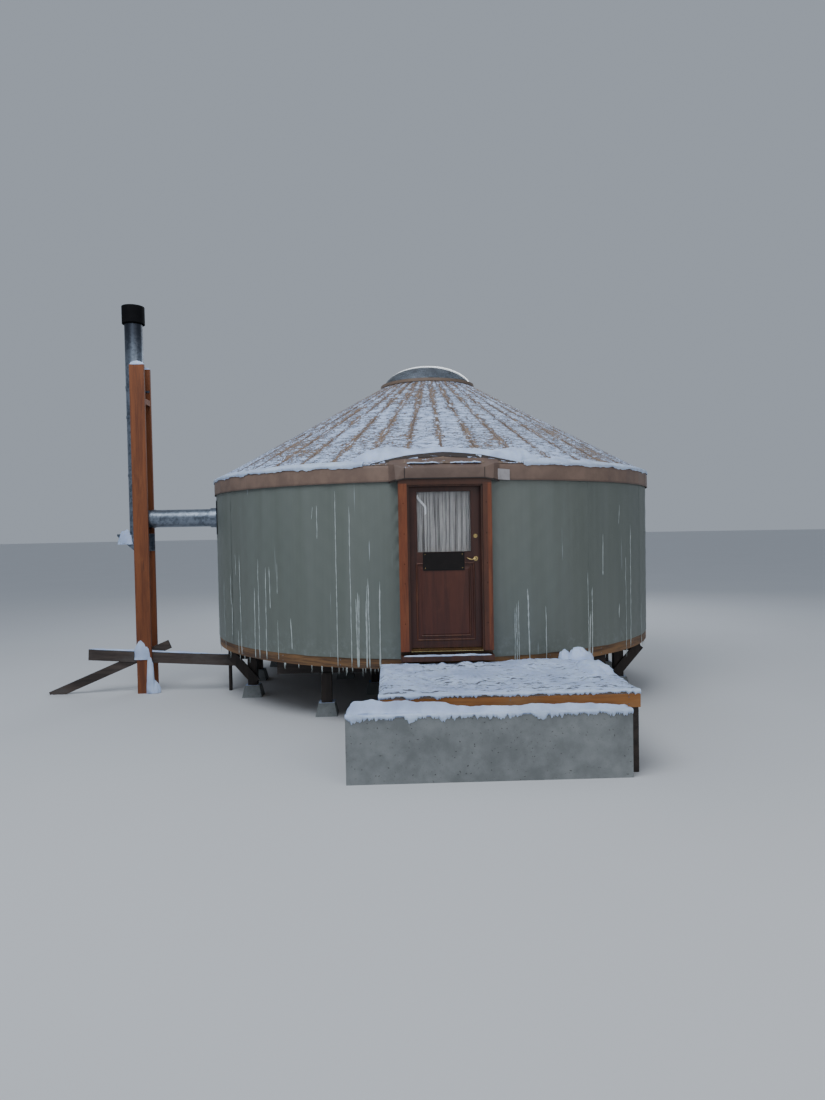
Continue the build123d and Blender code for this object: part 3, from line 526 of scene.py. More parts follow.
def roof_snow_material():
    """Thin crusted snow, rippled across the slope, with the tan cloth showing through in specks; painted
    shade darkens the ripples' troughs and a painted shadow line rims the specks.
    """
    made, net, shader, at = material("thin roof snow", roughness=0.62)
    unrolled = use(net, round_wall, {"Place": at})["Unrolled"]
    parts = net.add("SeparateXYZ", {0: unrolled}).outputs
    away = parts[2]
    turn = net.math("DIVIDE", parts[0], wall_r)
    along = net.times(turn, away)
    bent = net.times(net.noise(at, 6.0, 3.0, 0.5), 0.10)
    slope = net.add("CombineXYZ", {0: along, 1: net.plus(away, bent), 2: 0.0}).outputs[0]
    ripple = net.noise(net.stretch(slope, (6.0, 24.0, 1.0)), 1.0, 3.0, 0.6, 0.5)
    speck = net.noise(net.stretch(slope, (26.0, 62.0, 1.0)), 1.0, 4.0, 0.65, 0.4)
    wide = net.noise(at, 1.3, 3.0, 0.5)
    bays = net.math("FRACT", net.plus(net.math("DIVIDE", turn, bay), 0.5))
    from_ridge = net.times(net.math("ABSOLUTE", net.minus(bays, 0.5)), net.times(away, bay))
    by_ridge = net.rest(net.step(from_ridge, 0.012, 0.085))
    near_top = net.rest(net.step(away, 0.9, 2.4))
    open_to = net.plus(net.times(speck, 0.64), net.times(ripple, 0.36))
    limit = net.plus(0.445, net.times(net.minus(wide, 0.5), 0.28))
    limit = net.plus(limit, net.times(by_ridge, 0.085))
    limit = net.plus(limit, net.times(near_top, 0.012))
    place = net.add("SeparateXYZ", {0: at}).outputs
    flank = net.step(net.math("ABSOLUTE", place[0]), 0.7, 2.4)
    flank = net.times(flank, net.rest(net.step(away, 3.0, 3.4)))
    limit = net.plus(limit, net.times(flank, 0.03))
    limit = net.plus(limit, net.times(net.step(place[0], 0.6, 2.4), 0.022))
    over = net.minus(open_to, limit)
    bare = net.rest(net.step(over, -0.03, -0.012))
    edge = net.rest(net.step(over, -0.012, 0.022))
    # Painted shade: the crust is darker blue in the ripples' troughs, where the bump sinks.
    crust = net.mix(net.step(ripple, 0.35, 0.65), (0.36, 0.45, 0.65, 1), (0.62, 0.74, 1.0, 1))
    # Painted shadow: a near-black line rims each bare speck where the snow ends.
    shadow_edged = net.mix(net.times(edge, 0.93), crust, (0.045, 0.037, 0.038, 1))
    colour = net.mix(bare, shadow_edged, (0.27, 0.19, 0.135, 1))
    net.give(shader, "Base Color", colour)
    height = net.minus(net.plus(ripple, net.times(speck, 0.5)), edge)
    relief(net, shader, height, 1.0, 0.02)
    return made


wall_fabric = wall_fabric_material()
roof_tan = tan_fabric_material(
    "tan roof fabric", (0.235, 0.165, 0.118, 1), (0.10, 0.068, 0.052, 1), 0.42
)
band_tan = tan_fabric_material("tan roof band", (0.235, 0.155, 0.115, 1), (0.155, 0.1, 0.076, 1), 0.22)
# The flap's copy of the tan cloth is darkened as painted shade; the band's hem uses it too.
shaded_tan_fabric = tan_fabric_material(
    "tan flap in the shade", (0.17, 0.112, 0.086, 1), (0.115, 0.074, 0.058, 1), 0.3
)
# A near-black copy of the tan cloth: partly seams and hems, partly painted shade in creases and on the
# diverter's face.
seam_and_shade_brown = tan_fabric_material("dark seams and painted shade", (0.034, 0.021, 0.017, 1), (0.019, 0.012, 0.010, 1), 0.08)
snow = snow_material()
roof_snow = roof_snow_material()
trodden_snow = trodden_snow_material()

# %% [markdown]
# ## Finishes of the timbers
# Every board shares the grain group and differs in colour, in how far its stain has worn and in the
# direction that its fibres run. Boards bent round the platform take their grain from the unrolled
# coordinates, and the rafters take theirs from the distance to the axis.

# %% Timber finishes
def timber(name, light, dark, stretch, unrolled=False, checks=0.3, roughness=0.6, snowed=0.0, worn=None):
    made, net, shader, at = material(name, roughness=roughness)
    where = use(net, round_wall, {"Place": at})["Unrolled"] if unrolled else at
    drawn = net.stretch(where, stretch)
    inputs = {"Place": drawn, "Light": light, "Dark": dark, "Checks": checks}
    board = use(net, grain, inputs)
    colour = board["Colour"]
    if worn:
        patch = net.step(
            net.noise(net.stretch(where, [s * 0.5 + 0.5 for s in stretch]), 3.0, 5.0, 0.65), 0.5, 0.7
        )
        colour = net.mix(net.times(patch, 0.6), colour, worn)
    if snowed:
        lying = use(net, frost, {"Place": at, "Amount": snowed, "Grain": 26.0})["Mask"]
        colour = net.mix(lying, colour, snow_white)
    net.give(shader, "Base Color", colour)
    relief(net, shader, board["Height"], 0.45, 0.003)
    return made


upright = (1.0, 1.0, 0.07)
along_x = (0.07, 1.0, 1.0)
along_y = (1.0, 0.07, 1.0)
round_board = (0.07, 1.0, 1.0)
# Painted shade: the door frame's browns are darkened throughout, so that jamb, head and sill look
# shaded.
shaded_jamb_wood = timber(
    "door frame with painted shade",
    (0.075, 0.026, 0.013, 1),
    (0.035, 0.013, 0.008, 1),
    upright,
    roughness=0.5,
    worn=(0.11, 0.04, 0.018, 1),
)


def casing_material():
    """Casing boards: bright where the weather has worn the stain, with painted shade on the inner edges,
    along the top under the flap and over the right-hand board.
    """
    made, net, shader, at = material("stained casing", roughness=0.45)
    inputs = {
        "Place": net.stretch(at, upright),
        "Light": (0.20, 0.052, 0.017, 1),
        "Dark": (0.085, 0.021, 0.008, 1),
    }
    board = use(net, grain, {**inputs, "Checks": 0.3})
    parts = net.add("SeparateXYZ", {0: at}).outputs
    patch = net.step(net.noise(net.stretch(at, (3.0, 3.0, 0.8)), 4.0, 5.0, 0.65), 0.46, 0.66)
    worn = net.mix(net.times(patch, 0.55), board["Colour"], (0.22, 0.07, 0.024, 1))
    # Painted shade: the inner edges by the jamb, the top under the flap and the right-hand board are
    # darkened.
    inner = net.rest(net.step(net.math("ABSOLUTE", parts[0]), 0.472, 0.478))
    right = net.times(net.step(parts[0], 0.40, 0.41), net.rest(net.step(parts[0], 0.528, 0.534)))
    head = net.step(parts[2], 3.085, 3.100)
    shade = net.math("MAXIMUM", net.math("MAXIMUM", inner, head), net.times(right, 0.75))
    colour = net.mix(net.times(shade, 0.9), worn, (0.048, 0.017, 0.009, 1))
    net.give(shader, "Base Color", colour)
    relief(net, shader, board["Height"], 0.45, 0.003)
    return made


casing_wood = casing_material()
leaf_wood = timber(
    "dark varnished leaf",
    (0.058, 0.017, 0.010, 1),
    (0.032, 0.0095, 0.006, 1),
    upright,
    checks=0.1,
    roughness=0.42,
    worn=(0.08, 0.027, 0.015, 1),
)
panel_wood = timber(
    "varnished door panel",
    (0.082, 0.021, 0.011, 1),
    (0.052, 0.0135, 0.0078, 1),
    upright,
    checks=0.1,
    roughness=0.42,
    worn=(0.12, 0.036, 0.018, 1),
)
# The moulding is lighter than the leaf, partly wear and partly painted highlight on the beads.
moulding_wood = timber(
    "moulding with wear and painted highlight",
    (0.105, 0.034, 0.017, 1),
    (0.04, 0.013, 0.008, 1),
    upright,
    checks=0.1,
    roughness=0.4,
    worn=(0.18, 0.072, 0.036, 1),
)
post_wood = timber(
    "red stained posts",
    (0.225, 0.067, 0.019, 1),
    (0.115, 0.031, 0.010, 1),
    upright,
    roughness=0.65,
    worn=(0.25, 0.085, 0.028, 1),
    snowed=0.35,
)
rim_wood = timber(
    "rim boards",
    (0.23, 0.118, 0.045, 1),
    (0.066, 0.034, 0.018, 1),
    round_board,
    unrolled=True,
    roughness=0.65,
    worn=(0.085, 0.06, 0.043, 1),
)
fascia_wood = timber(
    "orange fascia",
    (0.33, 0.13, 0.027, 1),
    (0.17, 0.062, 0.015, 1),
    along_x,
    roughness=0.6,
    snowed=0.55,
    worn=(0.28, 0.15, 0.06, 1),
)
deck_wood = timber(
    "floor boards", (0.4, 0.25, 0.13, 1), (0.25, 0.145, 0.07, 1), along_y, roughness=0.45
)
rafter_wood = timber(
    "planed rafters",
    (0.5, 0.33, 0.18, 1),
    (0.34, 0.2, 0.1, 1),
    (1.0, 1.0, 0.09),
    unrolled=True,
    roughness=0.55,
)
lattice_wood = timber(
    "lattice slats", (0.48, 0.32, 0.18, 1), (0.32, 0.19, 0.1, 1), (0.5, 0.5, 0.5), roughness=0.55
)
post_grey = timber(
    "platform posts", (0.04, 0.029, 0.024, 1), (0.017, 0.013, 0.011, 1), upright, roughness=0.75
)
beam_grey = timber(
    "platform beams", (0.045, 0.032, 0.026, 1), (0.019, 0.014, 0.012, 1), along_x, roughness=0.75
)
joist_grey = timber(
    "platform joists", (0.045, 0.032, 0.026, 1), (0.019, 0.014, 0.012, 1), along_y, roughness=0.75
)
tie_grey = timber(
    "weathered beam",
    (0.075, 0.055, 0.046, 1),
    (0.028, 0.02, 0.017, 1),
    along_x,
    roughness=0.75,
    checks=0.5,
    snowed=0.75,
    worn=(0.095, 0.085, 0.08, 1),
)
board_grey = timber(
    "landing boards",
    (0.19, 0.15, 0.12, 1),
    (0.09, 0.068, 0.054, 1),
    along_x,
    roughness=0.7,
    checks=0.4,
    snowed=0.62,
)

# %% [markdown]
# ## Finishes of concrete, metal and clear sheet
# Concrete is a cloud of grey with pits. Galvanised steel keeps faint spangles, brass is worn where
# hands touch it, and the skylight is a clear acrylic bubble, tinted grey.

# %% Hard finishes
def concrete_material():
    made, net, shader, at = material("cast concrete", roughness=0.85)
    cloud = net.noise(at, 3.0, 6.0, 0.65)
    sand = net.noise(at, 120.0, 4.0, 0.7)
    base = net.mix(net.step(cloud, 0.3, 0.7), (0.165, 0.18, 0.185, 1), (0.28, 0.30, 0.305, 1))
    mottled = net.mix(net.times(sand, 0.35), base, (0.1, 0.105, 0.1, 1))
    pits = net.rest(net.step(net.noise(at, 40.0, 3.0, 0.5), 0.28, 0.34))
    pitted = net.mix(pits, mottled, (0.06, 0.06, 0.058, 1))
    lying = use(net, frost, {"Place": at, "Amount": 0.7, "Grain": 20.0})["Mask"]
    colour = net.mix(lying, pitted, snow_white)
    net.give(shader, "Base Color", colour)
    height = net.minus(net.plus(cloud, net.times(sand, 0.3)), pits)
    relief(net, shader, height, 0.6, 0.006)
    return made


def metal_material(name, light, dark, roughness, spangle=30.0, dull=0.15, darkens_above=None):
    made, net, shader, at = material(name, roughness=roughness, metallic=1.0)
    flakes = net.add("TexVoronoi", {"Vector": at, "Scale": spangle}).outputs["Color"]
    flake = net.add("SeparateColor", {0: flakes}).outputs[0]
    cloud = net.noise(at, 4.0, 5.0, 0.6)
    tone = net.plus(net.times(flake, 0.3), net.times(cloud, 0.7))
    colour = net.mix(net.step(tone, 0.25, 0.7), dark, light)
    # Above the given height the metal is darker towards the top.
    if darkens_above:
        height = net.add("SeparateXYZ", {0: at}).outputs[2]
        darkened_top = net.step(net.plus(height, net.times(cloud, 0.25)), darkens_above, darkens_above + 0.75)
        colour = net.mix(net.times(darkened_top, 0.93), colour, (0.03, 0.034, 0.045, 1))
    net.give(shader, "Base Color", colour)
    rough = net.plus(roughness, net.times(net.minus(cloud, 0.5), dull))
    net.give(shader, "Roughness", rough)
    relief(net, shader, tone, 0.2, 0.0008)
    return made


def painted_material(name, colour, wear, roughness=0.45, snowed=0.0, shine=0.5):
    made, net, shader, at = material(name, roughness=roughness)
    cloud = net.noise(at, 8.0, 6.0, 0.65)
    fine = net.noise(at, 160.0, 3.0, 0.6)
    tone = net.mix(net.times(net.step(cloud, 0.45, 0.75), 0.7), colour, wear)
    if snowed:
        lying = use(net, frost, {"Place": at, "Amount": snowed, "Grain": 40.0})["Mask"]
        tone = net.mix(lying, tone, snow_white)
    net.give(shader, "Base Color", tone)
    net.give(shader, "Specular IOR Level", shine)
    relief(net, shader, net.plus(cloud, net.times(fine, 0.3)), 0.15, 0.001)
    return made


def acrylic_material():
    made, net, shader, at = material("acrylic skylight", roughness=0.12)
    cloud = net.noise(at, 3.5, 5.0, 0.6)
    tone = net.mix(net.step(cloud, 0.35, 0.7), (0.16, 0.175, 0.195, 1), (0.30, 0.32, 0.35, 1))
    net.give(shader, "Base Color", tone)
    net.give(shader, "Transmission Weight", 0.9)
    net.give(shader, "IOR", 1.25)
    haze = net.plus(0.06, net.times(net.step(cloud, 0.4, 0.8), 0.16))
    net.give(shader, "Roughness", haze)
    relief(net, shader, cloud, 0.1, 0.002)
    return made


def glass_material():
    made, net, shader, at = material("door glass", roughness=0.04)
    smear = net.noise(at, 6.0, 4.0, 0.6)
    net.give(shader, "Base Color", net.mix(smear, (0.93, 0.94, 0.94, 1), (0.98, 0.98, 0.98, 1)))
    net.give(shader, "Transmission Weight", 1.0)
    net.give(shader, "IOR", 1.12)
    rough = net.times(net.step(smear, 0.4, 0.8), 0.12)
    net.give(shader, "Roughness", rough)
    return made


def ice_material():
    made, net, shader, at = material("ice", roughness=0.15)
    cloud = net.noise(at, 30.0, 4.0, 0.6)
    net.give(shader, "Base Color", net.mix(cloud, (0.42, 0.47, 0.46, 1), (0.66, 0.72, 0.71, 1)))
    net.give(shader, "Transmission Weight", 0.2)
    net.give(shader, "IOR", 1.31)
    relief(net, shader, cloud, 0.3, 0.004)
    return made


def curtain_material():
    made, net, shader, at = material("gathered curtain", roughness=0.9)
    threads = use(net, weave, {"Place": net.stretch(at, (1.0, 0.0, 1.0)), "Threads": 300.0})["Height"]
    cloud = net.noise(net.stretch(at, (30.0, 1.0, 3.0)), 1.0, 4.0, 0.6)
    cloth = net.mix(net.step(cloud, 0.3, 0.7), (0.40, 0.385, 0.38, 1), (0.60, 0.58, 0.57, 1))
    # Painted shade: the cloth darkens where its folds lie furthest back from the glass.
    behind = net.step(net.add("SeparateXYZ", {0: at}).outputs[1], -3.4690, -3.4585)
    colour = net.mix(net.times(behind, 0.8), cloth, (0.07, 0.062, 0.06, 1))
    net.give(shader, "Base Color", colour)
    net.give(shader, "Sheen Weight", 0.2)
    relief(net, shader, threads, 0.3, 0.001)
    return made


concrete = concrete_material()
galvanised = metal_material(
    "galvanised steel", (0.27, 0.31, 0.37, 1), (0.12, 0.145, 0.18, 1), 0.42, darkens_above=5.2
)
cable_steel = metal_material(
    "steel cable", (0.5, 0.5, 0.5, 1), (0.25, 0.25, 0.25, 1), 0.4, spangle=200.0
)
brass = metal_material("worn brass", (0.82, 0.62, 0.27, 1), (0.5, 0.35, 0.14, 1), 0.26, spangle=60.0)
black_paint = painted_material(
    "blackened cap", (0.004, 0.004, 0.005, 1), (0.012, 0.011, 0.011, 1), 0.8, shine=0.1
)
sign_paint = painted_material(
    "dark sign", (0.007, 0.005, 0.0045, 1), (0.014, 0.010, 0.009, 1), 0.5, shine=0.25
)
pale_tape = painted_material("pale tape", (0.95, 0.95, 0.97, 1), (0.8, 0.8, 0.83, 1), 0.5)
label_white = painted_material("bare label", (0.34, 0.32, 0.33, 1), (0.2, 0.18, 0.18, 1), 0.5)
collar_tan = painted_material(
    "skylight rim", (0.186, 0.130, 0.093, 1), (0.124, 0.087, 0.062, 1), 0.5, snowed=0.2
)
acrylic = acrylic_material()
glass = glass_material()
ice = ice_material()
curtain_cloth = curtain_material()
print("finishes:", len(bpy.data.materials))

# %% [markdown]
# ## Dressing the rigid pieces
# The pieces that came with the frame keep their shape. Each one's material slots are filled from this
# table. The beams and posts stand in the shade under the building, so they are plain and dark.

# %% Materials for the frame's own pieces
finish_of = {
    concrete: ("post_footings", "concrete_step"),
    post_grey: ("platform_posts", "platform_struts"),
    beam_grey: ("floor_girders",),
    joist_grey: ("floor_joists", "landing_frame"),
    rim_wood: ("rim_band",),
    deck_wood: ("floor_deck",),
    lattice_wood: ("lattice_outer_slats", "lattice_inner_slats", "flue_wall_frame"),
    rafter_wood: ("rafters", "centre_ring"),
    shaded_jamb_wood: ("left_jamb", "right_jamb", "head_jamb", "door_sill"),
    casing_wood: ("door_casing",),
    leaf_wood: ("door_leaf", "glazing_beads"),
    panel_wood: ("door_panel",),
    post_wood: ("flue_posts",),
    fascia_wood: ("landing_fascia",),
    tie_grey: ("tie_beam", "diagonal_brace"),
    board_grey: ("landing_boards",),
    galvanised: ("flue_pipe", "flue_tee", "flue_bands", "flue_bracket", "wall_flashing"),
    collar_tan: ("dome_ring",),
    cable_steel: ("eave_cable", "curtain_rods"),
    black_paint: ("flue_cap",),
    brass: ("threshold", "door_lock", "lever_handle", "frame_hinges", "door_hinges"),
    sign_paint: ("sign_plate",),
    acrylic: ("dome",),
    glass: ("door_glass",),
    wall_fabric: ("wall_cover",),
    roof_tan: ("roof_cover",),
    band_tan: ("valance", "door_valance", "rain_diverter"),
    curtain_cloth: ("door_curtain",),
}
for finish, nodes in finish_of.items():
    for name in nodes:
        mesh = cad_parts[name].data
        mesh.materials.clear()
        mesh.materials.append(finish)
dressed = {name for nodes in finish_of.values() for name in nodes}
print("pieces without a finish:", sorted(set(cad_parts) - dressed))

# %% [markdown]
# ## Roof fabric
# The cover is one sheet, pulled tight over the rafters, so it is not a smooth cone: between two
# rafters it lies flat and sags a little under the snow. A cone is added with eight columns to each
# bay, its slanted edges are subdivided, and each point is drawn in to the chord between its rafters.

# %% Roof fabric
columns = 8
half_bay = bay / 2


def chord_factor(angle):
    """How far a point of a circle draws in to lie on the chord between two rafters."""
    off_middle = (angle % bay) - half_bay
    return math.cos(half_bay) / math.cos(off_middle)


def sag(angle, r):
    """Depth to which the cloth hangs between two rafters, in metres."""
    off_middle = ((angle % bay) - half_bay) / half_bay
    run = (r - top_r) / (eave_r - top_r)
    return 0.009 * (1 - off_middle ** 2) * (0.4 + 0.6 * math.sin(math.pi * min(max(run, 0), 1)))


def roof_point(angle, r, lift=0.0):
    """Point on the cloth, or above it, where the nearest rafter is r from the axis."""
    inner = r * chord_factor(angle)
    z = roof_z(r) - sag(angle, r) + lift
    return Vector((inner * math.sin(angle), -inner * math.cos(angle), z))


def cone_of_columns(per_bay, rows):
    """An open cone from the eave to the dome, with its slanted edges cut into rows."""
    deselect()
    bpy.ops.mesh.primitive_cone_add(
        vertices=rafter_count * per_bay,
        radius1=eave_r,
        radius2=top_r,
        depth=roof_z(top_r) - eave_z,
        end_fill_type="NOTHING",
        location=(0, 0, (roof_z(top_r) + eave_z) / 2),
    )
    cone = bpy.context.object
    place(cone)
    cut_lengthways(2, 0.1, rows - 1)
    return cone


roof_sheet = cone_of_columns(columns, 24)
named("roof_fabric")
shape(roof_sheet, lambda co: roof_point(angle_of(co.x, co.y), co.xy.length))
modify(roof_sheet, "SOLIDIFY", thickness=0.003, offset=-1)
finished(roof_sheet, "yurt", roof_tan, round_under=20)
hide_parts("roof_cover")

# %% [markdown]
# ## Snow on the roof
# The snow lies in each bay and has slid or melted off the ridges, where the rafters press the cloth
# up. The same cone gets more columns, and the two columns beside each ridge are deleted, which
# leaves 45 strips. Their edges are moved in by a ragged amount, and Solidify gives the snow a depth
# that a vertex group thins to nothing at the edges.

# %% Snow strips between the ridges
snow_columns = 14
snow_rows = 66
random.seed(7)


def ridge_gap(angle, r, side):
    """Bare cloth beside a ridge in metres, ragged down the slope and wider near the dome."""
    ridge = round(angle / bay) + side * 0.37
    ragged = 0.6 * lumps(ridge * 3.1, r * 8.0, 1.0) + 0.9 * lumps(ridge * 3.1, r * 26.0, 5.0)
    near_top = smooth((1.5 - r) / 0.8)
    melted = smooth(lumps(ridge * 1.7, r * 1.3, 9.0) * 1.6 - 0.25)
    return max(0.003, 0.012 + 0.026 * ragged + 0.022 * melted - 0.002 * near_top)


def snow_phase(angle, r):
    """Angle of a snow point once its strip is drawn in from the two ridges beside it."""
    step_in = bay / snow_columns
    start = math.floor(angle / bay) * bay
    across = (angle - start - step_in) / (bay - 2 * step_in)
    low = ridge_gap(start, r, 1) / r
    high = ridge_gap(start + bay, r, -1) / r
    return start + low + (bay - low - high) * across, min(across, 1 - across)


snow_sheet = cone_of_columns(snow_columns, snow_rows)
named("roof_snow")


def by_ridge(face):
    centre = face.calc_center_median()
    across = (angle_of(centre.x, centre.y) / bay) % 1
    return across < 1 / snow_columns or across > 1 - 1 / snow_columns


delete_faces(snow_sheet, by_ridge)

depth_group = snow_sheet.vertex_groups.new(name="depth")
for vertex in snow_sheet.data.vertices:
    r = vertex.co.xy.length
    angle, inward = snow_phase(angle_of(vertex.co.x, vertex.co.y) + 1e-5, r)
    low_end = smooth((eave_r - r) / 0.05) * smooth((r - top_r) / 0.06)
    full = smooth(inward * 4.5) * low_end
    drift = (
        0.62
        + 0.38 * lumps(vertex.co.x * 1.5, vertex.co.y * 1.5, 3.0)
        + 0.2 * lumps(vertex.co.x * 9, vertex.co.y * 9, 2.0)
    )
    depth_group.add([vertex.index], max(0.04, min(full * drift, 1.0)), "REPLACE")
    lower = 0.012 * smooth((r - eave_r + 0.05) / 0.05) * (1 + lumps(angle * 40, 0, 0))
    vertex.co = roof_point(angle, min(r + lower, eave_r - 0.004), 0.0012)
diverter_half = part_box("rain_diverter")[1].x - 0.03
arch_rise, arch_power = 0.168, 1.9


def below_diverter(face):
    centre = face.calc_center_median()
    share = abs(centre.x) / diverter_half
    if centre.y > 0 or share > 1:
        return False
    return centre.xy.length > eave_r - 0.012 - arch_rise * (1 - share ** arch_power)


delete_faces(snow_sheet, below_diverter)
modify(
    snow_sheet, "SOLIDIFY", thickness=0.020, offset=1, vertex_group="depth", thickness_vertex_group=0.0
)
finished(snow_sheet, "yurt", roof_snow, round_under=60)

# %% [markdown]
# ## Roof band
# The roof's lower edge folds over and hangs as a band all round, open only where the flap covers the
# doorway. It starts as a short open cylinder. Its rows give a rounded fold at the top, a slight
# swell in the middle and a rolled hem, and a wave along the hem makes it hang like cloth.

# %% Roof band round the eave
band_gap = math.radians(11.2)
band_rows = 10


hem_lift = 0.022


def band_point(angle, drop):
    """Point of the band, where drop runs from 0 at the roof's edge to 1 at the hem."""
    z = eave_z + 0.004 - drop * (eave_z + 0.004 - valance_hem - hem_lift)
    fold = 0.012 * (1 - smooth(drop / 0.12))
    wave = 0.004 * lumps(math.sin(angle) * 5, math.cos(angle) * 5, drop) * drop
    swell = 0.003 * math.sin(math.pi * drop)
    r = eave_r * chord_factor(angle) - 0.004 - fold + wave + swell
    return Vector((r * math.sin(angle), -r * math.cos(angle), z))


deselect()
bpy.ops.mesh.primitive_cylinder_add(vertices=720, radius=eave_r, depth=1.0, end_fill_type="NOTHING")
band = named("roof_band")
cut_lengthways(2, 0.1, band_rows - 1)
delete_faces(band, lambda face: abs(angle_of(*face.calc_center_median().xy)) < band_gap)
shape(band, lambda co: band_point(angle_of(co.x, co.y), 0.5 - co.z))
modify(band, "SOLIDIFY", thickness=0.003, offset=-1)
finished(band, "yurt", band_tan)
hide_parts("valance")

# %% [markdown]
# The hem is a narrow strip sewn along the band's lower edge. It is a grid laid on the band's own
# points and set off a little outwards, so that it follows every wave.

# %% Hem of the roof band
def strip_along(name, point, start, end, steps, width_rows, thickness):
    """A narrow strip of cloth: a grid whose X runs from start to end and whose Y is the width."""
    deselect()
    bpy.ops.mesh.primitive_grid_add(x_subdivisions=steps, y_subdivisions=width_rows, size=1)
    strip = named(name)
    shape(strip, lambda co: point(start + (co.x + 0.5) * (end - start), co.y + 0.5))
    modify(strip, "SOLIDIFY", thickness=thickness, offset=0)
    outward(strip)
    return strip


def hem_point(turn, across):
    angle = band_gap + turn * (2 * math.pi - 2 * band_gap)
    base = band_point(angle, 1 - 0.085 * (1 - across))
    away = Vector((math.sin(angle), -math.cos(angle), 0)) * (
        0.0022 + 0.0012 * math.sin(math.pi * across)
    )
    return base + away


# The hem takes the flap's darker tan: partly the stitched hem, partly a painted shadow line along the
# band's lower edge.
hem = strip_along("band_hem", hem_point, 0.0, 1.0, 720, 3, 0.002)
finished(hem, "yurt", shaded_tan_fabric)

# %% [markdown]
# ## Rain diverter and flap over the door
# A strip of cloth stands on the roof like a low arch and turns meltwater away from the door. Below
# it the flap comes off the roof in front of the door's head, hangs like the band, and folds back to
# it on both sides in a flat triangle, as the end of a parcel does.

# %% Rain diverter
diverter_low, diverter_rise, diverter_taper = 0.012, 0.048, 1.8
diverter_lean = 0.3


def diverter_r(share):
    """Distance of the strip from the axis: it climbs the roof towards its middle."""
    return eave_r - 0.006 - arch_rise * (1 - abs(share) ** arch_power)


def diverter_point(share, height):
    """The strip stands on the roof along a shallow arch, a little higher in the middle."""
    x = share * diverter_half
    rise = 1 - abs(share) ** diverter_taper
    r_here = diverter_r(share)
    y = -math.sqrt(max(r_here * r_here - x * x, 0.01))
    foot = Vector((x, y, 0))
    foot.z = roof_z(foot.xy.length / chord_factor(angle_of(x, y))) + 0.002
    tall = diverter_low + diverter_rise * rise
    wobble = 0.004 * lumps(x * 7, 3.0, height)
    return foot + Vector((0, diverter_lean * tall * height + wobble * height, tall * height))


# The strip's near-black brown is painted shade on its face.
diverter = strip_along("rain_diverter_strip", diverter_point, -1.0, 1.0, 90, 6, 0.004)
finished(diverter, "yurt", seam_and_shade_brown)
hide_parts("rain_diverter")


def line_length(point, steps):
    """How long a strip is along its middle line."""
    places = [point(2 * number / steps - 1, 0.5) for number in range(steps + 1)]
    return sum((after - before).length for before, after in zip(places, places[1:]))


# The strip tapers to its ends, so its area is its length times the mean of its height on the slant;
# only its length is found here.
diverter_length = line_length(diverter_point, 90)

# %% [markdown]
# The flap is one sheet seen as three planes: the front, and a slanted side at each end that goes
# round the door's head to the band. Its outline from above is a line with four corners. The grid's
# columns follow that line, and its rows go from the roof over the fold and down to the hem.

# %% Flap over the door
flap_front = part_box("door_valance")[0].y
flap_half = 0.498
flap_hem = 3.146
flap_fold = 3.285
seam_share = 0.7
band_end = polar(eave_r - 0.004, 11.15)
upper_crease = Vector((0.622, -3.584, 3.332))
lower_crease = Vector((0.606, -3.630, 3.126))
upper_corners = [
    Vector((flap_half, flap_front, flap_fold)),
    upper_crease,
    Vector((band_end.x, band_end.y, eave_z)),
]
lower_corners = [
    Vector((flap_half, flap_front, flap_hem)),
    lower_crease,
    Vector((band_end.x, band_end.y, valance_hem)),
]


def flap_side_point(turn, down):
    """Side of the flap from its seam (0) to the band (1), creased from the top corner down."""
    if turn < 0.5:
        across = turn * 2
        (a, d), (b, c) = upper_corners[:2], lower_corners[:2]
    else:
        across = turn * 2 - 1
        (a, d), (b, c) = upper_corners[1:], lower_corners[1:]
    if down >= across:
        return a + (b - a) * down + (c - b) * across
    return a + (d - a) * across + (c - d) * down


def flap_point(share, down):
    """From the fold (0) to the hem (1) on the face of the flap."""
    turn = abs(share)
    if turn <= seam_share:
        x = turn / seam_share * flap_half
        slack = 0.006 * math.sin(math.pi * down) + 0.005 * lumps(share * 6, down * 2, 4.0) * down
        at = Vector((x, flap_front - slack * 0.5 + 0.002, flap_fold + down * (flap_hem - flap_fold)))
    else:
        at = flap_side_point((turn - seam_share) / (1 - seam_share), down)
    return Vector((at.x if share > 0 else -at.x, at.y, at.z))


def flap_top_point(share, back):
    """From the fold (0) back to the roof (1)."""
    start = flap_point(share, 0.0)
    middle_part = 1 - smooth((abs(share) - seam_share) / (1 - seam_share))
    end_x = start.x * 0.985
    end_r = eave_r - 0.12
    end = Vector((end_x, -math.sqrt(end_r ** 2 - end_x ** 2), 0))
    end.z = roof_z(end_r) + 0.004
    at = start.lerp(end, back)
    at.z += (0.006 * math.sin(math.pi * back) + 0.003 * lumps(share * 5, back * 3, 2.0)) * middle_part
    return at


def flap_sheet_point(share, down):
    """The whole cut: the first third lies back to the roof, the rest hangs."""
    if down < 0.35:
        return flap_top_point(share, 1 - down / 0.35)
    return flap_point(share, (down - 0.35) / 0.65)


flap = strip_along("door_flap", flap_sheet_point, -1.0, 1.0, 120, 26, 0.0025)
finished(flap, "yurt", shaded_tan_fabric, round_under=12)
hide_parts("door_valance")

# %% [markdown]
# A near-black strip runs down each end of the flap's face, where the slanted side is sewn on, and a
# hem runs along its lower edge. Both are the same kind of strip as the hem of the band. Their near-black
# is partly the seams and the hem and partly painted shade in the flap's creases.

# %% Seams and hem of the flap
def flap_hem_point(turn, across):
    base = flap_point(-1 + 2 * turn, 1 - 0.11 * (1 - across))
    return base + Vector((0, -0.0028, 0))


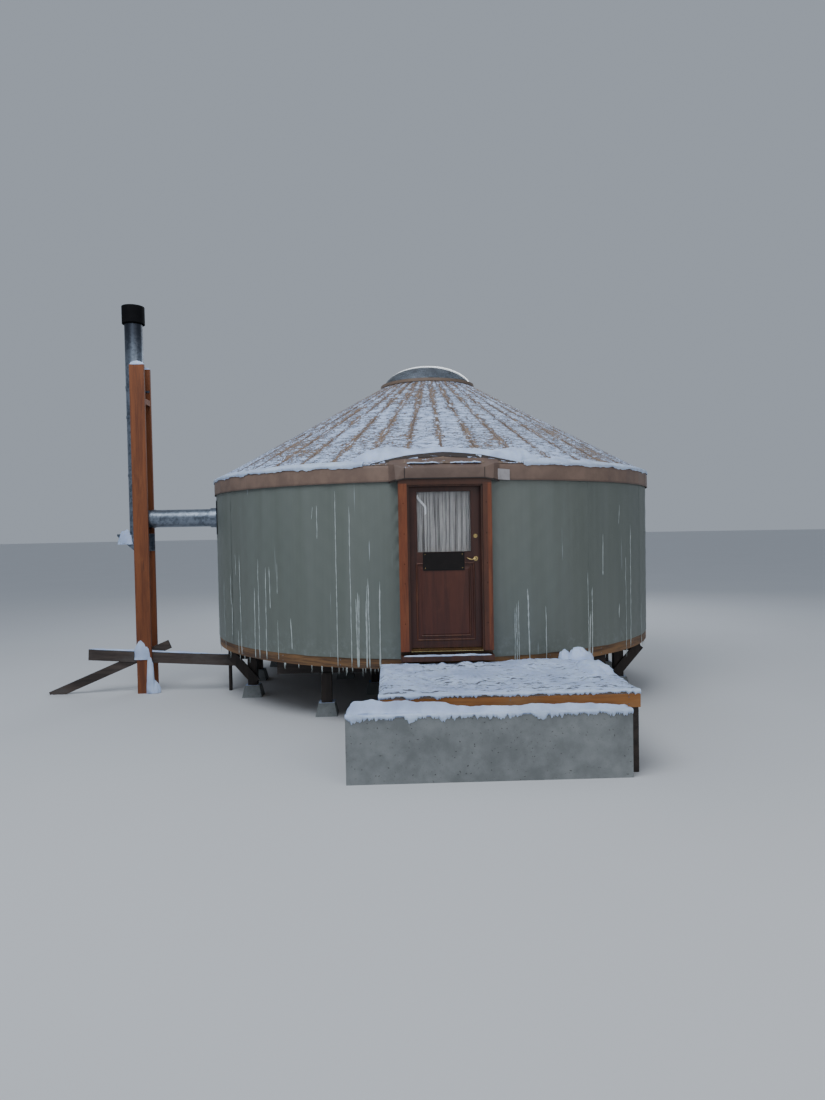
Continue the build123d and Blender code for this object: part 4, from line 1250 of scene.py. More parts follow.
def flap_seam_point(side):
    def point(turn, across):
        share = side * (seam_share - 0.008 + 0.012 * across)
        base = flap_point(share, turn)
        return base + Vector((side * 0.001, -0.0035, 0))
    return point


flap_strips = [strip_along("flap_hem", flap_hem_point, 0.0, 1.0, 120, 3, 0.002)]
for side, side_name in ((-1, "left"), (1, "right")):
    flap_strips.append(
        strip_along(f"flap_seam_{side_name}", flap_seam_point(side), 0.0, 1.0, 14, 3, 0.003)
    )
for strip in flap_strips:
    finished(strip, "yurt", seam_and_shade_brown)

# %% [markdown]
# ## Wall fabric
# The wall cover is sewn from upright widths and pulled round the lattice, which it touches at the
# crossings, so it is nearly a cylinder with a soft unevenness. It stops at the door frame on both
# sides and hangs over the platform's rim. The flue passes through a hole that the flashing covers.

# %% Wall fabric
wall_gap = math.asin((door_half + 0.0005) / wall_r)
wall_columns = 560
wall_rows = 60
flue_middle = (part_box("wall_flashing")[0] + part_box("wall_flashing")[1]) / 2
hole_r = 0.165


def wall_unevenness(angle, z):
    along = angle * wall_r
    crossings = 0.0022 * math.sin(along * 19.6) * math.sin((z - wall_hem) * 19.6)
    widths = 0.0035 * lumps(along * 1.4, z * 0.25, 1.0)
    low = 0.008 * lumps(along * 2.6, 0.0, 7.0) * smooth((wall_hem + 0.35 - z) / 0.35)
    beside = (abs(angle) - wall_gap) * wall_r
    by_door = math.exp(-(beside / 0.12) ** 2) * (1.0 if angle < 0 else 0.35)
    high = smooth((z - 1.7) / 0.5) * smooth((3.1 - z) / 0.3)
    pulls = 0.012 * by_door * (0.25 + 0.75 * high) * (math.sin((z + 1.9 * beside) * 31.0) - 0.4)
    return crossings + widths + low + pulls


def wall_point(angle, z):
    r = wall_r - 0.004 + wall_unevenness(angle, z)
    hem_wave = 0.006 * lumps(angle * wall_r * 3.0, 1.0, 2.0) * smooth((wall_hem + 0.15 - z) / 0.15)
    return Vector((r * math.sin(angle), -r * math.cos(angle), z + hem_wave))


def by_flue(co, extra=0.0):
    return co.x < 0 and math.hypot(co.y - flue_middle.y, co.z - flue_middle.z) < hole_r + extra


deselect()
bpy.ops.mesh.primitive_cylinder_add(
    vertices=wall_columns,
    radius=wall_r,
    depth=1.0,
    end_fill_type="NOTHING",
    rotation=(0, 0, math.pi / wall_columns),
)
wall_sheet = named("wall_fabric")
place(wall_sheet)
cut_lengthways(2, 0.1, wall_rows - 1)
step_angle = 2 * math.pi / wall_columns
delete_faces(wall_sheet, lambda face: abs(angle_of(*face.calc_center_median().xy)) < step_angle * 0.6)
edge_angle = min(abs(angle_of(v.co.x, v.co.y)) for v in wall_sheet.data.vertices)


def fitted_angle(angle):
    """Spread the columns evenly between the two sides of the door frame."""
    side = 1 if angle > 0 else -1
    share = (math.pi - abs(angle)) / (math.pi - edge_angle)
    return side * (math.pi - share * (math.pi - wall_gap))


shape(
    wall_sheet,
    lambda co: wall_point(
        fitted_angle(angle_of(co.x, co.y)), wall_hem + (co.z + 0.5) * (wall_top - wall_hem)
    ),
)
delete_faces(wall_sheet, lambda face: by_flue(face.calc_center_median()))
modify(wall_sheet, "SOLIDIFY", thickness=0.003, offset=-1)
finished(wall_sheet, "yurt", wall_fabric)
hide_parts("wall_cover")

# %% [markdown]
# Each width of the wall cover is lapped over the next and welded, which shows as an upright band
# about 35 mm wide that stands a millimetre proud. One strip is shaped for each seam, except by the flue.

# %% Welded seams of the wall
wall_widths = 14


def seam_point(angle):
    def point(turn, across):
        z = wall_hem + 0.004 + turn * (wall_top - wall_hem - 0.008)
        base = wall_point(angle + (across - 0.5) * 0.035 / wall_r, z)
        return base + Vector((math.sin(angle), -math.cos(angle), 0)) * 0.0012
    return point


seams = []
for number in range(1, wall_widths):
    seam_angle = wall_gap + number * (2 * math.pi - 2 * wall_gap) / wall_widths
    seam_at = polar(wall_r, math.degrees(seam_angle))
    if abs(seam_at.y - flue_middle.y) > 0.35 or seam_at.x > 0:
        seams.append(
            strip_along(f"wall_seam_{number}", seam_point(seam_angle), 0.0, 1.0, 40, 3, 0.0016)
        )
for strip in seams:
    finished(strip, "yurt", wall_fabric)

# %% [markdown]
# ## Curtain behind the glass
# The curtain is gathered on two thin rods, so its folds run straight down and stay in place. A fine
# grid is pushed in and out by a sum of waves of different lengths, tighter at the rods, where the
# casing pinches the cloth.

# %% Gathered curtain
curtain_lo, curtain_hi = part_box("door_curtain")
curtain_mid = (curtain_lo.y + curtain_hi.y) / 2


def folds(x, z):
    """Depth of the curtain's folds: uneven pleats that lean a little and narrow at both rods."""
    lean = 0.10 * lumps(x * 3.0, z * 0.6, 1.0)
    along = x + 0.012 * lumps(x * 8.0, z * 1.1, 2.0) + 0.02 * lean
    broad = math.sin(along * 96 + 7.0 * lumps(x * 5.0, 0.0, 5.0))
    narrow = math.sin(along * 330 + 5.0 * lumps(x * 11.0, 3.0, 6.0))
    fullness = 0.55 + 0.45 * smooth(0.5 + lumps(x * 7.0, z * 0.8, 8.0))
    return 0.0082 * broad * fullness + 0.0036 * narrow


def curtain_point(across, down):
    z = curtain_hi.z + down * (curtain_lo.z - curtain_hi.z)
    pinch = min(abs(z - curtain_hi.z + 0.012), abs(z - curtain_lo.z - 0.012))
    loose = smooth(pinch / 0.09)
    x = curtain_lo.x + across * (curtain_hi.x - curtain_lo.x)
    x += 0.004 * loose * math.sin(9 * down) * math.sin(math.pi * across)
    return Vector((x, curtain_mid + folds(x, z) * (0.45 + 0.55 * loose), z))


curtain = strip_along("gathered_curtain", curtain_point, 0.0, 1.0, 420, 36, 0.0008)
finished(curtain, "door", curtain_cloth, round_under=80)
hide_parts("door_curtain")

# %% [markdown]
# ## Landing boards
# The landing is laid with boards along the wall, with open joints between them. One board is a cube
# at its size with bevelled edges, and each copy gets its own small cup and a slightly different end.

# %% Landing boards
boards_lo, boards_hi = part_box("landing_boards")
board_count = 13
board_pitch = (boards_hi.y - boards_lo.y) / board_count
joint = 0.006


def board(name, lo, hi, cuts=12):
    """A board with eased edges between two corners."""
    deselect()
    bpy.ops.mesh.primitive_cube_add(size=1, location=(lo + hi) / 2)
    piece = named(name)
    piece.scale = hi - lo
    place(piece)
    bpy.ops.object.mode_set(mode="EDIT")
    long_x = hi.x - lo.x > hi.y - lo.y
    pick("edges", lambda e: abs((e.verts[0].co - e.verts[1].co).normalized()[0 if long_x else 1]) > 0.9)
    bpy.ops.mesh.subdivide(number_cuts=cuts)
    bpy.ops.object.mode_set(mode="OBJECT")
    modify(piece, "BEVEL", width=0.003, segments=2, limit_method="ANGLE")
    return piece


def joined(pieces, name):
    deselect()
    for piece in pieces:
        piece.select_set(True)
    bpy.context.view_layer.objects.active = pieces[0]
    bpy.ops.object.join()
    return named(name)


laid = []
for number in range(board_count):
    y0 = boards_lo.y + number * board_pitch
    end = 0.004 * lumps(number * 1.7, 2.0)
    lo = Vector((boards_lo.x + 0.004 + end, y0 + joint / 2, boards_lo.z))
    hi = Vector((boards_hi.x - 0.004 + end, y0 + board_pitch - joint / 2, boards_hi.z))
    plank = board(f"landing_board_{number}", lo, hi)
    shape(plank, lambda co: co + Vector((0, 0, 0.0015 * lumps(co.x * 2, number * 3.0))))
    laid.append(plank)
landing = joined(laid, "landing_planks")
finished(landing, "yurt", board_grey)
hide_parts("landing_boards")

# %% [markdown]
# ## Snow on the ledges
# Snow settles in two shapes here: long rolls that follow an edge, and round heaps on small flat tops.
# A roll starts as a cylinder along its edge and takes its width and height from noise. A heap is a
# sphere whose lower half is pressed flat onto what it lies on.

# %% Snow rolls and heaps
def snow_roll(name, line, size, steps=120, on_roof=False):
    """A roll of snow. line and size take a share from 0 to 1; size gives half width and height."""
    deselect()
    bpy.ops.mesh.primitive_cylinder_add(vertices=14, radius=1, depth=1, rotation=(0, math.pi / 2, 0))
    roll = named(name)
    place(roll)
    cut_lengthways(0, 0.5, steps - 1)

    def settle(co):
        share = co.x + 0.5
        here = line(share)
        ahead = (line(min(share + 0.01, 1)) - line(max(share - 0.01, 0))).normalized()
        across = Vector((-ahead.y, ahead.x, 0)).normalized()
        half, height = size(share)
        ends = math.sqrt(max(0.0, 1 - abs(2 * share - 1) ** 12))
        ragged = 1 + 0.35 * lumps(here.x * 6, here.y * 6, co.y * 0.8)
        upward = max(co.z, -0.12)
        out = here + across * (co.y * half * ends * ragged)
        out.z += upward * height * ends * (1 + 0.3 * lumps(here.x * 11, here.y * 11, co.y))
        if on_roof:
            out.z += roof_z(out.xy.length) - roof_z(here.xy.length)
        return out

    shape(roll, settle)
    outward(roll)
    return finished(roll, "yurt", snow, round_under=70)


def snow_heap(name, centre, radii, seed):
    """A heap of snow on a flat top: centre of its foot and its three radii."""
    deselect()
    bpy.ops.mesh.primitive_uv_sphere_add(segments=40, ring_count=24, radius=1)
    heap = named(name)

    def settle(co):
        bumpy = (
            1
            + 0.16 * lumps(co.x * 1.6 + seed, co.y * 1.6, co.z * 1.6)
            + 0.05 * lumps(co.x * 6, co.y * 6, seed)
        )
        squarer = max(abs(co.x), abs(co.y), 0.001)
        level = math.hypot(co.x, co.y)
        corner = 1 + 0.22 * (level / squarer - 1)
        up = co.z * radii[2] * bumpy if co.z > 0 else co.z * 0.004
        return (
            Vector((co.x * radii[0] * bumpy * corner, co.y * radii[1] * bumpy * corner, up))
            + Vector(centre)
        )

    shape(heap, settle)
    outward(heap)
    return finished(heap, "yurt", snow, round_under=70)


# %% [markdown]
# The thickest snow lies above the diverter, which dams it, and slides in lumps along the eave to the
# right of the door. Thinner rolls lie on the flap, on the sill and along the landing.

# %% Snow above the diverter and along the eave
dam_start, dam_length = -1.20, 2.50


def dam_line(share):
    x = dam_start + dam_length * share
    reach = min(abs(x) / diverter_half, 1.12)
    r = diverter_r(min(reach, 1.0)) - 0.02 * max(reach - 1, 0)
    half, height = dam_size(share)
    return roof_point(math.asin(x / eave_r), r - 1.12 * half - 0.004, 0.004)


def dam_size(share):
    x = dam_start + dam_length * share
    left = math.exp(-((x + 0.84) / 0.27) ** 2)
    right = math.exp(-((x - 0.98) / 0.26) ** 2)
    thick = 0.62 + 0.25 * lumps(x * 2.2, 4.0) + 0.45 * left + 0.45 * right
    return 0.058 + 0.030 * thick + 0.095 * left + 0.05 * right, 0.040 + 0.042 * thick


snow_roll("snow_above_diverter", dam_line, dam_size, steps=150, on_roof=True)


def right_eave_line(share):
    angle = math.radians(15.5 + 22 * share)
    return roof_point(angle, eave_r - 0.055 - 0.02 * lumps(share * 9, 1.0), 0.002)


def right_eave_size(share):
    thick = smooth(0.55 + 0.9 * lumps(share * 5.0, 8.0)) * (1 - 0.55 * share)
    return 0.03 + 0.055 * thick, 0.012 + 0.05 * thick


snow_roll("snow_on_right_eave", right_eave_line, right_eave_size, steps=130, on_roof=True)


def left_eave_line(share):
    angle = math.radians(-15.2 - 50 * share)
    return roof_point(angle, eave_r - 0.04 - 0.012 * lumps(share * 12, 3.0), 0.002)


def left_eave_size(share):
    thick = smooth(0.4 + 0.8 * lumps(share * 9.0, 2.0)) * (1 - 0.4 * share)
    return 0.018 + 0.022 * thick, 0.006 + 0.016 * thick


snow_roll("snow_on_left_eave", left_eave_line, left_eave_size, steps=150, on_roof=True)


def lip_point(turn, across):
    """Crust of snow over the roof's edge: from the slope, over the fold and a little down the band."""
    angle = lip_gap + turn * (2 * math.pi - 2 * lip_gap)
    there = (math.sin(angle) * 9, math.cos(angle) * 9)
    drop = 0.026 + 0.020 * lumps(*there, 2.0) + 0.016 * lumps(there[0] * 5, there[1] * 5, 4.0)
    puff = 0.010 + 0.010 * smooth(0.5 + lumps(there[0] * 0.7, there[1] * 0.7, 7.0))
    edge_r = eave_r * chord_factor(angle)
    if across < 0.5:
        r = edge_r - 0.11 * (1 - 2 * across)
        z = roof_z(r) + 0.003 + puff * math.sin(math.pi * across)
    else:
        r = edge_r + 0.004 + 0.006 * math.sin(math.pi * (across - 0.5) * 2)
        z = eave_z + 0.006 + puff * math.sin(math.pi * across) - max(drop, 0.004) * (2 * across - 1)
    return Vector((r * math.sin(angle), -r * math.cos(angle), z))


lip_stops_at_x = 1.02
lip_gap = math.asin(lip_stops_at_x / eave_r)
eave_lip = strip_along("snow_lip_on_eave", lip_point, 0.0, 1.0, 900, 10, 0.006)
finished(eave_lip, "yurt", snow, round_under=70)


def flap_snow_line(first, last):
    def line(share):
        turn = first + share * (last - first)
        return flap_top_point(turn, 0.42 + 0.06 * lumps(turn * 12, 1.0)) + Vector((0, 0, 0.003))
    return line


def flap_snow_size(share):
    return 0.046 + 0.014 * lumps(share * 4, 5.0), 0.014 + 0.006 * lumps(share * 7, 6.0)


snow_roll("snow_on_flap_left", flap_snow_line(-0.66, -0.10), flap_snow_size, steps=60)
snow_roll("snow_on_flap_right", flap_snow_line(0.10, 0.66), flap_snow_size, steps=60)

# %% Snow on the sill, the landing, the step and the beams
sill_lo, sill_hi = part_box("door_sill")
fascia_lo, fascia_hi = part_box("landing_fascia")
step_lo, step_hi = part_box("concrete_step")
posts_lo, posts_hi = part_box("flue_posts")
beam_lo, beam_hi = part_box("tie_beam")


def straight(start, end, wave=0.0):
    start, end = Vector(start), Vector(end)

    def line(share):
        at = start.lerp(end, share)
        at.y += wave * lumps(share * 9, at.x, 3.0)
        return at
    return line


def thin(half, height, change=0.4, pace=6.0):
    def size(share):
        lump = 1 + change * lumps(share * pace, half * 90)
        return half * lump, height * lump
    return size


sill_y = -3.672
sill_line = straight(
    (sill_lo.x + 0.03, sill_y, sill_hi.z), (sill_hi.x - 0.03, sill_y, sill_hi.z), 0.006
)
snow_roll("snow_on_sill", sill_line,
          thin(0.024, 0.016), steps=80)
snow_roll(
    "snow_on_landing_edge",
    straight(
        (boards_lo.x + 0.02, boards_lo.y + 0.03, boards_hi.z),
        (boards_hi.x - 0.02, boards_lo.y + 0.03, boards_hi.z),
        0.02,
    ),
    thin(0.035, 0.012, 0.6, 11.0),
    steps=140,
)
snow_roll(
    "snow_on_step_edge",
    straight(
        (step_lo.x + 0.06, step_lo.y + 0.07, step_hi.z),
        (step_hi.x - 0.05, step_lo.y + 0.07, step_hi.z),
        0.02,
    ),
    thin(0.055, 0.022, 0.5, 8.0),
    steps=120,
)
beam_slope = (0.492 - 0.633) / (5.521 - 3.200)
beam_top = beam_hi.z - 0.004
beam_y = -0.890
snow_roll("snow_on_tie_beam",
          straight((beam_lo.x + 0.03, beam_y, beam_top), (-3.62, beam_y, beam_top + beam_slope * 1.87)),
          thin(0.026, 0.020), steps=110)
plank_y = 0.0225
front_y, rear_y = posts_lo.y + plank_y, posts_hi.y - plank_y
snow_heap("snow_on_front_post", (-4.630, front_y, posts_hi.z - 0.002), (0.112, 0.026, 0.060), 1.0)
snow_heap("snow_on_rear_post", (-4.645, rear_y, posts_hi.z - 0.012), (0.112, 0.026, 0.045), 2.0)
snow_heap("snow_by_beam", (-4.66, -0.935, beam_top + beam_slope * 0.9 - 0.12), (0.14, 0.035, 0.33), 3.0)
snow_heap("snow_on_beam_post", (-4.54, -0.950, 0.006), (0.065, 0.035, 0.62), 9.0)
snow_heap("snow_below_beam", (-4.50, -0.925, 0.006), (0.105, 0.050, 0.20), 10.0)
bracket_lo, bracket_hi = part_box("flue_bracket")
snow_heap(
    "snow_on_bracket",
    (bracket_lo.x + 0.13, front_y + 0.04, bracket_hi.z - 0.16),
    (0.12, 0.045, 0.22),
    11.0,
)


def crusted_lip(name, start, end, depth, hang, steps, seed):
    """Ragged crust over a straight front edge: it lies on the top and hangs down the face."""
    start, end = Vector(start), Vector(end)

    def point(turn, across):
        at = start + (end - start) * turn
        ragged = (
            0.5
            + 0.9 * lumps(at.x * 7, seed)
            + 0.55 * lumps(at.x * 31, seed + 2)
            + 0.3 * lumps(at.x * 90, seed)
        )
        drop = hang * max(0.06, ragged)
        puff = 0.012 + 0.008 * lumps(at.x * 5, seed + 4)
        if across < 0.5:
            inner = 1 - 2 * across
            return at + Vector((0, depth * inner, 0.004 + puff * math.sin(math.pi * across)))
        down = 2 * across - 1
        return (
            at
            + Vector(
                (0, -0.004 - 0.012 * math.sin(math.pi * down), 0.004 + puff * (1 - down) - drop * down)
            )
        )
    lip = strip_along(name, point, 0.0, 1.0, steps, 10, 0.006)
    return finished(lip, "yurt", snow, round_under=70)


landing_front = (boards_lo.x, boards_lo.y, boards_hi.z)
crusted_lip(
    "snow_lip_on_landing", landing_front, (boards_hi.x, boards_lo.y, boards_hi.z), 0.10, 0.036, 420, 3.0
)
step_front = (step_lo.x, step_lo.y, step_hi.z)
crusted_lip("snow_lip_on_step", step_front, (step_hi.x, step_lo.y, step_hi.z), 0.12, 0.062, 420, 6.0)
snow_heap("snow_heap_by_wall", (1.60, -3.84, boards_hi.z), (0.17, 0.12, 0.19), 4.0)
snow_heap("snow_heap_behind", (1.44, -3.78, boards_hi.z), (0.10, 0.09, 0.16), 8.5)
snow_heap("snow_heap_on_side", (1.62, -4.42, boards_hi.z), (0.19, 0.42, 0.13), 5.0)
snow_heap("snow_heap_by_sill", (0.80, -3.80, boards_hi.z), (0.16, 0.09, 0.055), 6.0)

# %% [markdown]
# ## Ice
# Meltwater freezes where it leaves the hem of the wall: short icicles hang under the rim board, and
# runs of ice stand on the cloth. Each icicle is a thin cone, bent by a little noise, joined to the
# others of its group.

# %% Icicles and runs of ice
def icicle(name, top, length, radius, seed):
    deselect()
    bpy.ops.mesh.primitive_cone_add(vertices=10, radius1=0.0008, radius2=radius, depth=length)
    drop = named(name)
    cut_lengthways(2, length * 0.5, 9)

    def hang(co):
        down = 0.5 - co.z / length
        swell = 1 + 0.25 * lumps(down * 6, seed * 3.1)
        bend = 0.003 * lumps(down * 3, seed) * down
        return Vector((co.x * swell + bend, co.y * swell, -down * length)) + top

    shape(drop, hang)
    return drop


# %% [markdown]
# The runs on the cloth are thin and flat. Each follows the wall from its top to its foot, leans a
# little and swells where drops have frozen. In front they stand in bunches, two of them below the
# ends of the diverter, and over the sides and back they are scattered thinly. The spans of the
# bunches are set after the photograph, and the places in them are seeded draws.

# %% Runs of ice on the wall
random.seed(33)
rim_lo, rim_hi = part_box("rim_band")
rim_r = rim_hi.x
below_rim_edge = rim_lo.z + 0.015
wall_runs = []


def scatter_runs(first, last, count, top, width, reaching):
    """Runs between two angles. top and width are ranges; reaching is the share that meets the rim."""
    for _ in range(count):
        angle = random.uniform(first, last)
        start = random.uniform(*top)
        short = start - random.uniform(0.1, 0.6)
        foot = below_rim_edge if random.random() < reaching else max(short, below_rim_edge)
        lean = random.uniform(-0.3, 0.3)
        wall_runs.append((angle, angle + lean, start, foot, random.uniform(*width)))


scatter_runs(-20, -13, 8, top=(1.6, 2.1), width=(10, 15), reaching=0.9)
scatter_runs(-30, -17, 4, top=(2.8, 3.1), width=(9, 13), reaching=0.1)
scatter_runs(-56, -22, 10, top=(1.0, 2.3), width=(9, 18), reaching=0.6)
scatter_runs(14, 23, 5, top=(1.5, 1.8), width=(8, 26), reaching=0.9)
scatter_runs(33, 52, 9, top=(1.1, 2.9), width=(9, 22), reaching=0.6)
scatter_runs(56, 304, 60, top=(1.2, 3.1), width=(8, 16), reaching=0.6)


def run_point(top_angle, foot_angle, top, foot, width):
    def point(turn, across):
        z = top + turn * (foot - top)
        swell = (
            0.55
            + 0.75 * smooth(0.5 + lumps(turn * (top - foot) * 14, top_angle))
            + 0.5 * smooth(turn * 3 - 2.2)
        )
        taper = min(1.0, turn * 9 + 0.15) * min(1.0, (1 - turn) * 14 + 0.25)
        half = width * 0.00042 * swell * taper
        wander = 0.0035 * lumps(z * 5, top_angle * 3)
        angle = (
            math.radians(top_angle + turn * (foot_angle - top_angle))
            + (wander + (across - 0.5) * 2 * half) / wall_r
        )
        on_wall = wall_point(angle, max(z, wall_hem))
        thick = 0.0012 + 0.5 * half * (1 - (2 * across - 1) ** 2)
        r = on_wall.xy.length + thick
        if z < wall_hem:
            r = on_wall.xy.length + thick - min(1.0, (wall_hem - z) / 0.02) * 0.004
        return Vector((r * math.sin(angle), -r * math.cos(angle), z if z < wall_hem else on_wall.z))
    return point


ice_strips = []
for number, run in enumerate(wall_runs):
    rows = max(6, int((run[2] - run[3]) / 0.03))
    ice_strips.append(strip_along(f"run_{number}", run_point(*run), 0.0, 1.0, rows, 4, 0.0015))
ice_runs = joined(ice_strips, "ice_runs")
finished(ice_runs, "yurt", ice, round_under=70)

# %% Icicles under the hem
random.seed(21)
drops = []
icicle_angles = [
    -54.5, -37.2, -36.8, -33.0, -29.5, -27.0, -24.5, -22.9,
    -21.0, -19.8, -17.5, -16.9, -15.8, -14.9, -14.2,
]
icicle_angles += [random.uniform(-60, -12) for _ in range(7)] + [
    random.uniform(30, 300) for _ in range(26)
]
for number, angle in enumerate(icicle_angles):
    length = random.uniform(0.04, 0.12)
    top = polar(rim_r - 0.004, angle, rim_lo.z + 0.006)
    drops.append(icicle(f"icicle_{number}", top, length, random.uniform(0.004, 0.008), number))
icicles = joined(drops, "icicles")
outward(icicles)
finished(icicles, "yurt", ice, round_under=60)

# %% [markdown]
# Over the landing and the step the snow is a sheet a few centimetres deep with a crust on it. A grid
# lies on the boards, and Solidify raises it by a depth that noise and the distance from the edges
# give to each point.

# %% Snow sheets on the landing and the step
def snow_patch(name, lo, hi, depth, thickness, cuts, look):
    """A sheet of snow between two corners at one height; depth gives 0 to 1 for a point."""
    deselect()
    bpy.ops.mesh.primitive_grid_add(x_subdivisions=cuts[0], y_subdivisions=cuts[1], size=1)
    patch = named(name)
    group_of = patch.vertex_groups.new(name="depth")
    for vertex in patch.data.vertices:
        x, y = vertex.co.x + 0.5, vertex.co.y + 0.5
        at = Vector((lo.x + x * (hi.x - lo.x), lo.y + y * (hi.y - lo.y), hi.z))
        edge = min(
            x * (hi.x - lo.x), (1 - x) * (hi.x - lo.x), y * (hi.y - lo.y), (1 - y) * (hi.y - lo.y)
        )
        outer = smooth(1 - edge / 0.05)
        at.x += 0.012 * outer * lumps(at.y * 9, at.x * 2, 4.0)
        at.y += 0.012 * outer * lumps(at.x * 9, at.y * 2, 6.0)
        group_of.add([vertex.index], max(0.05, min(depth(at, edge), 1.0)), "REPLACE")
        vertex.co = at
    modify(
        patch,
        "SOLIDIFY",
        thickness=thickness,
        offset=1,
        vertex_group="depth",
        thickness_vertex_group=0.0,
    )
    outward(patch)
    return finished(patch, "yurt", look, round_under=70)


def landing_depth(at, edge):
    crust = 0.30 + 0.20 * lumps(at.x * 1.9, at.y * 1.9, 2.0) + 0.20 * lumps(at.x * 7, at.y * 7, 3.0)
    crust += 0.13 * lumps(at.x * 18, at.y * 18, 5.0)
    boards = 0.05 * abs(math.sin((at.y - boards_lo.y) / board_pitch * math.pi)) ** 0.3
    heap = 0.75 * math.exp(-(((at.x - 1.05) / 0.38) ** 2 + ((at.y + 3.92) / 0.22) ** 2))
    side = 0.55 * math.exp(-(((at.x - 1.65) / 0.28) ** 2 + ((at.y + 4.3) / 0.5) ** 2))
    left = 0.25 * math.exp(-(((at.x + 0.7) / 0.25) ** 2 + ((at.y + 4.6) / 0.6) ** 2))
    trodden = 0.13 * math.exp(-(((at.x - 0.1) / 0.55) ** 2 + ((at.y + 4.5) / 0.7) ** 2))
    return (crust + boards + heap + side + left - trodden) * (0.3 + 0.7 * smooth(edge / 0.05))


step_top = Vector((step_hi.x - 0.02, boards_lo.y - 0.004, step_hi.z + 0.001))


def step_depth(at, edge):
    crust = 0.24 + 0.16 * lumps(at.x * 1.8, at.y * 2.5, 7.0) + 0.10 * lumps(at.x * 6, at.y * 6, 1.0)
    crust += 0.05 * lumps(at.x * 16, at.y * 16, 3.0)
    back = smooth((at.y - step_lo.y) / (step_top.y - step_lo.y))
    drift = (0.30 + 0.55 * smooth((0.15 - at.x) / 0.5)) * back
    left = 0.42 * math.exp(-(((at.x + 0.80) / 0.42) ** 2)) * (1 - 0.4 * back)
    return (crust + left + drift) * (0.30 + 0.70 * smooth(edge / 0.07))


landing_top = Vector((boards_hi.x - 0.01, -3.705, boards_hi.z + 0.001))
snow_patch(
    "snow_on_landing",
    boards_lo + Vector((0.01, 0.01, 0)),
    landing_top,
    landing_depth,
    0.075,
    (150, 100),
    trodden_snow,
)
snow_patch(
    "snow_on_step", step_lo + Vector((0.02, 0.02, 0)), step_top, step_depth, 0.165, (150, 36), snow
)

# %% [markdown]
# ## Small trim
# Screws hold the casings and the sign, bolts hold the platform's boards, and a small label is sewn
# to the roof band. Each screw is a short cylinder with a bevelled head, turned to face outwards.

# %% Screws and bolts
def screw(name, at, facing, radius, height, sides=16):
    """A domed head at a point; facing is the direction that it looks in."""
    deselect()
    bpy.ops.mesh.primitive_cylinder_add(vertices=sides, radius=radius, depth=height)
    head = named(name)
    modify(head, "BEVEL", width=height * 0.45, segments=2, limit_method="ANGLE")
    turn = Vector((0, 0, 1)).rotation_difference(Vector(facing).normalized()).to_matrix()
    shape(head, lambda co: turn @ co + Vector(at))
    return head


front = (0, -1, 0)
casing_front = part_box("door_casing")[0].y
screws = []
for x in (-0.515, 0.515):
    for z in (1.35, 1.85, 2.095, 2.47, 2.85):
        drift = 0.012 * lumps(x * 40, z * 7)
        screws.append(
            screw(f"screw_{len(screws)}", (x + drift, casing_front - 0.001, z), front, 0.0055, 0.004)
        )
casing_screws = joined(screws, "casing_screws")
finished(casing_screws, "yurt", black_paint, round_under=50)

sign_lo, sign_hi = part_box("sign_plate")
screws = []
for x in (sign_lo.x + 0.028, sign_hi.x - 0.028):
    for z in (sign_lo.z + 0.028, sign_hi.z - 0.028):
        screws.append(
            screw(f"sign_screw_{len(screws)}", (x, sign_lo.y - 0.001, z), front, 0.0048, 0.003)
        )
sign_screws = joined(screws, "sign_screws")
finished(sign_screws, "door", brass, round_under=50)

bolts = []
for x in (-0.72, 0.49, 1.70):
    for z in (fascia_lo.z + 0.035, fascia_hi.z - 0.035):
        bolts.append(screw(f"bolt_{len(bolts)}", (x, fascia_lo.y - 0.002, z), front, 0.007, 0.006, 6))
for number in range(24):
    angle = 7.5 + number * 15
    away = polar(1.0, angle)
    for z in (rim_lo.z + 0.035, rim_lo.z + 0.10):
        at = polar(rim_r + 0.001, angle, z)
        bolts.append(screw(f"bolt_{len(bolts)}", at, away, 0.007, 0.006, 6))
platform_bolts = joined(bolts, "platform_bolts")
finished(platform_bolts, "yurt", galvanised, round_under=50)

# %% Moulding round the door panel
panel_lo, panel_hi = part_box("door_panel")
leaf_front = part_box("door_leaf")[0].y


def moulding(name, start, end):
    """A rounded bead between two points on the leaf's face."""
    start, end = Vector(start), Vector(end)
    run = end - start
    side = run.cross(Vector((0, 1, 0))).normalized()

    def point(turn, across):
        turned = start + run * turn + side * (across - 0.5) * 0.022
        raised = 0.0085 * math.sin(math.pi * across) ** 0.7 + 0.0005
        return Vector((turned.x, leaf_front - raised, turned.z))
    bead = strip_along(name, point, 0.0, 1.0, 24, 7, 0.001)
    return bead


left_x, right_x = panel_lo.x - 0.004, panel_hi.x + 0.004
low_z, high_z = panel_lo.z - 0.004, panel_hi.z + 0.004
sides = [
    ((left_x, 0, low_z), (left_x, 0, high_z)),
    ((right_x, 0, low_z), (right_x, 0, high_z)),
    ((left_x, 0, low_z), (right_x, 0, low_z)),
    ((left_x, 0, high_z), (sign_lo.x - 0.004, 0, high_z)),
    ((sign_hi.x + 0.004, 0, high_z), (right_x, 0, high_z)),
    ((left_x + 0.05, 0, low_z + 0.05), (right_x - 0.05, 0, low_z + 0.05)),
    ((right_x - 0.05, 0, low_z + 0.05), (right_x - 0.05, 0, high_z - 0.05)),
]
beads = [moulding(f"bead_{n}", *ends) for n, ends in enumerate(sides)]
panel_moulding = joined(beads, "panel_moulding")
finished(panel_moulding, "door", moulding_wood, round_under=50)

# %% Bent strip behind the glass
panel_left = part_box("door_glass")[0].x
glass_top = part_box("door_glass")[1].z


